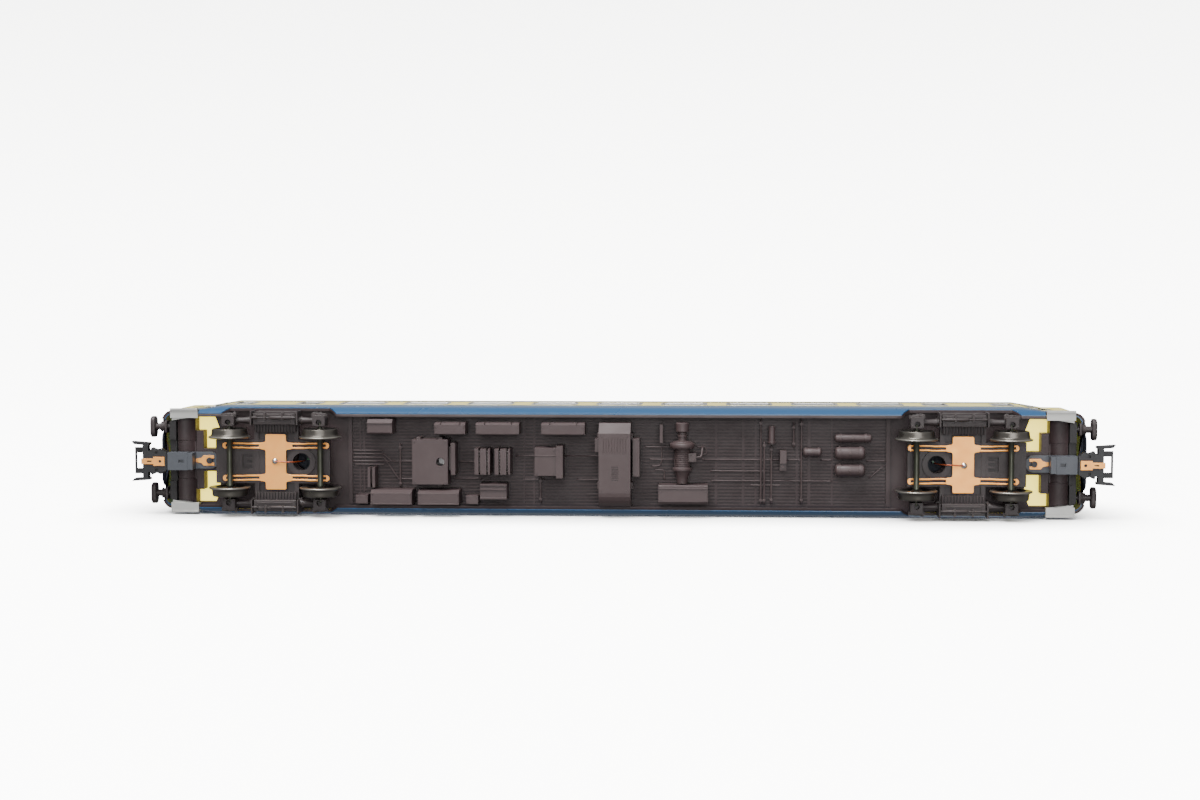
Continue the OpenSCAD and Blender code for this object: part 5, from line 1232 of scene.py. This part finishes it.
def ventilator(x, y):
    """Round cap on a short neck, turned about Z at the roof's height there."""
    base = EAVES_Z + (ROOF_TOP - EAVES_Z) * (1 - (abs(y) / HALF_W) ** 2.5) ** (1 / 2.2) - 0.35
    return lathe(eased([[0, 0], [0, 1.5], [0.35, 1.5], [0.45, 1.1], [0.7, 1.1], [0.75, 1.9], [1.0, 1.9], [1.35, 1.2],
                        [1.5, 0]], 1), [x, y, base], [0, 0, 1], 24)


roof_parts = [roof_shape()] + [ventilator(x, y) for x in np.arange(-99, 100, 22.0) for y in (-5.5, 5.5)]
piece("ribbed_roof", roof_parts, roof_paint, "coach", stands_for=["roof"], angle=38)

# %% [markdown]
# ## Ends of the coach
# Each end has a rubber gangway, a door behind it, and two buffers. The rubber is two soft rolls that lie one
# behind the other. A buffer head is flattened above and below and slightly domed in front.

# %% Gangways and end doors
gang_low, gang_high = sized("gangway_b")
GANG_W, GANG_H, GANG_Z = gang_high[1] - gang_low[1], gang_high[2] - gang_low[2], (gang_low[2] + gang_high[2]) / 2
GANG_X = gang_low[0]
for end in ENDS:
    loop = rounded_rect(GANG_W - 1.9, GANG_H - 1.9, 2.2, 8, 4)
    rolls = []
    for x in (GANG_X + 0.5, GANG_X + 1.5):
        path = np.column_stack([np.full(len(loop), x - PIVOT_X), loop[:, 0], loop[:, 1] + GANG_Z])
        rolls.append(at_end(hoop(path, 0.95, (1, 0, 0), 14, 0.52), end))
    piece(f"gangway_rolls_{end}", rolls, rubber, "coach", stands_for=[f"gangway_{end}"],
          angle=60)
    leaves, rims = [], []
    for s in (-1, 1):
        leaf = rounded_rect(4.6, 19.4, 0.5, 3, 2) + [s * 2.38, 27.0]
        leaves.append(at_end(prism(leaf, BODY_END - 0.2 - PIVOT_X, BODY_END + 0.14 - PIVOT_X, 0), end))
        pane = rounded_rect(2.7, 8.0, 0.6, 3, 2) + [s * 2.3, 31.0]
        path = np.column_stack([np.full(len(pane), BODY_END + 0.16 - PIVOT_X), pane])
        rims.append(at_end(hoop(path, 0.2, (1, 0, 0), 8), end))
        glass = rounded_rect(2.5, 7.8, 0.5, 3, 2) + [s * 2.3, 31.0]
        rims.append(at_end(prism(glass, BODY_END - 0.1 - PIVOT_X, BODY_END + 0.18 - PIVOT_X, 0), end))
        grip = [[BODY_END + 0.1 - PIVOT_X, s * 0.5, 24], [BODY_END + 0.5 - PIVOT_X, s * 0.5, 24.2],
                [BODY_END + 0.5 - PIVOT_X, s * 0.5, 26.8], [BODY_END + 0.1 - PIVOT_X, s * 0.5, 27]]
        rims.append(at_end(tube(rounded_path(grip, 0.4), 0.14, 8, (0, 1, 0)), end))
    piece(f"end_door_{end}", leaves, body_paint, "coach", soften=0.1)
    piece(f"end_door_panes_{end}", rims, rubber, "coach", angle=50)

# %% Buffers
BUFFER_Y, BUFFER_Z = 10.05, 13.2
BUFFER_FACE = sized("buffers")[1][0] - PIVOT_X


def buffer_parts():
    """Foot plate with bolts, turned sleeve and shank, and a head whose outline shrinks towards its domed front."""
    x0 = BUFFER_FACE - 5.2
    parts = [prism(rounded_rect(3.8, 3.4, 0.5, 3, 2) + [BUFFER_Y, BUFFER_Z - 0.2], x0, x0 + 0.5, 0)]
    parts.append(lathe([[-1.6, 0], [-1.6, 0.75], [0.4, 0.78], [0.5, 1.45], [0.7, 1.55], [0.9, 1.45], [1.7, 1.42],
                        [1.8, 1.55], [2.0, 1.55], [2.05, 1.05], [3.8, 1.0], [4.0, 1.5], [4.1, 1.5], [4.1, 0]],
                       [x0, BUFFER_Y, BUFFER_Z], [1, 0, 0], 32))
    for dy in (-1.45, 1.45):
        for dz in (-1.4, 1.0):
            parts.append(bolt([x0 + 0.48, BUFFER_Y + dy, BUFFER_Z + dz], [1, 0, 0], 0.22, 0.2))
    steps = [(3.7, 0.93), (3.85, 0.99), (4.0, 1.0), (4.75, 1.0), (4.95, 0.98), (5.08, 0.92), (5.15, 0.8),
             (5.19, 0.55), (5.2, 0.2)]
    loop = rounded_rect(6.4, 3.9, 1.6, 6, 3)
    rings = [np.column_stack([np.full(len(loop), x0 + dx), loop * k + [BUFFER_Y, BUFFER_Z]]) for dx, k in steps]
    parts.append(capped(np.array(rings)))
    return parts


buffer_set = [at_end(p, end) for end in ENDS for p in both_sides(buffer_parts())]
piece("sprung_buffers", buffer_set, bogie_grey, "coach", stands_for=["buffers"], angle=40)

# %% [markdown]
# ## Lead holes
# The pickup lead goes up through a round hole in the floor. A black cup lines the hole: a painted shade that
# makes it look dark, and keeps the interior from showing through it.

# %% Lead holes closed by cups of painted shade
HOLE_X = -7.6
for end in ENDS:
    # Painted shade: a dark cup closes the hole where only shade would be.
    cup = lathe([[0, 0], [0, 3.35], [0.2, 3.5], [1.3, 3.5], [1.3, 3.3], [0.25, 3.1], [0.25, 0]],
                [HOLE_X, 0, 18.3], [0, 0, -1], 40)
    piece(f"painted_shade_cup_{end}", [at_end(cup, end)], rubber, "coach", angle=40)
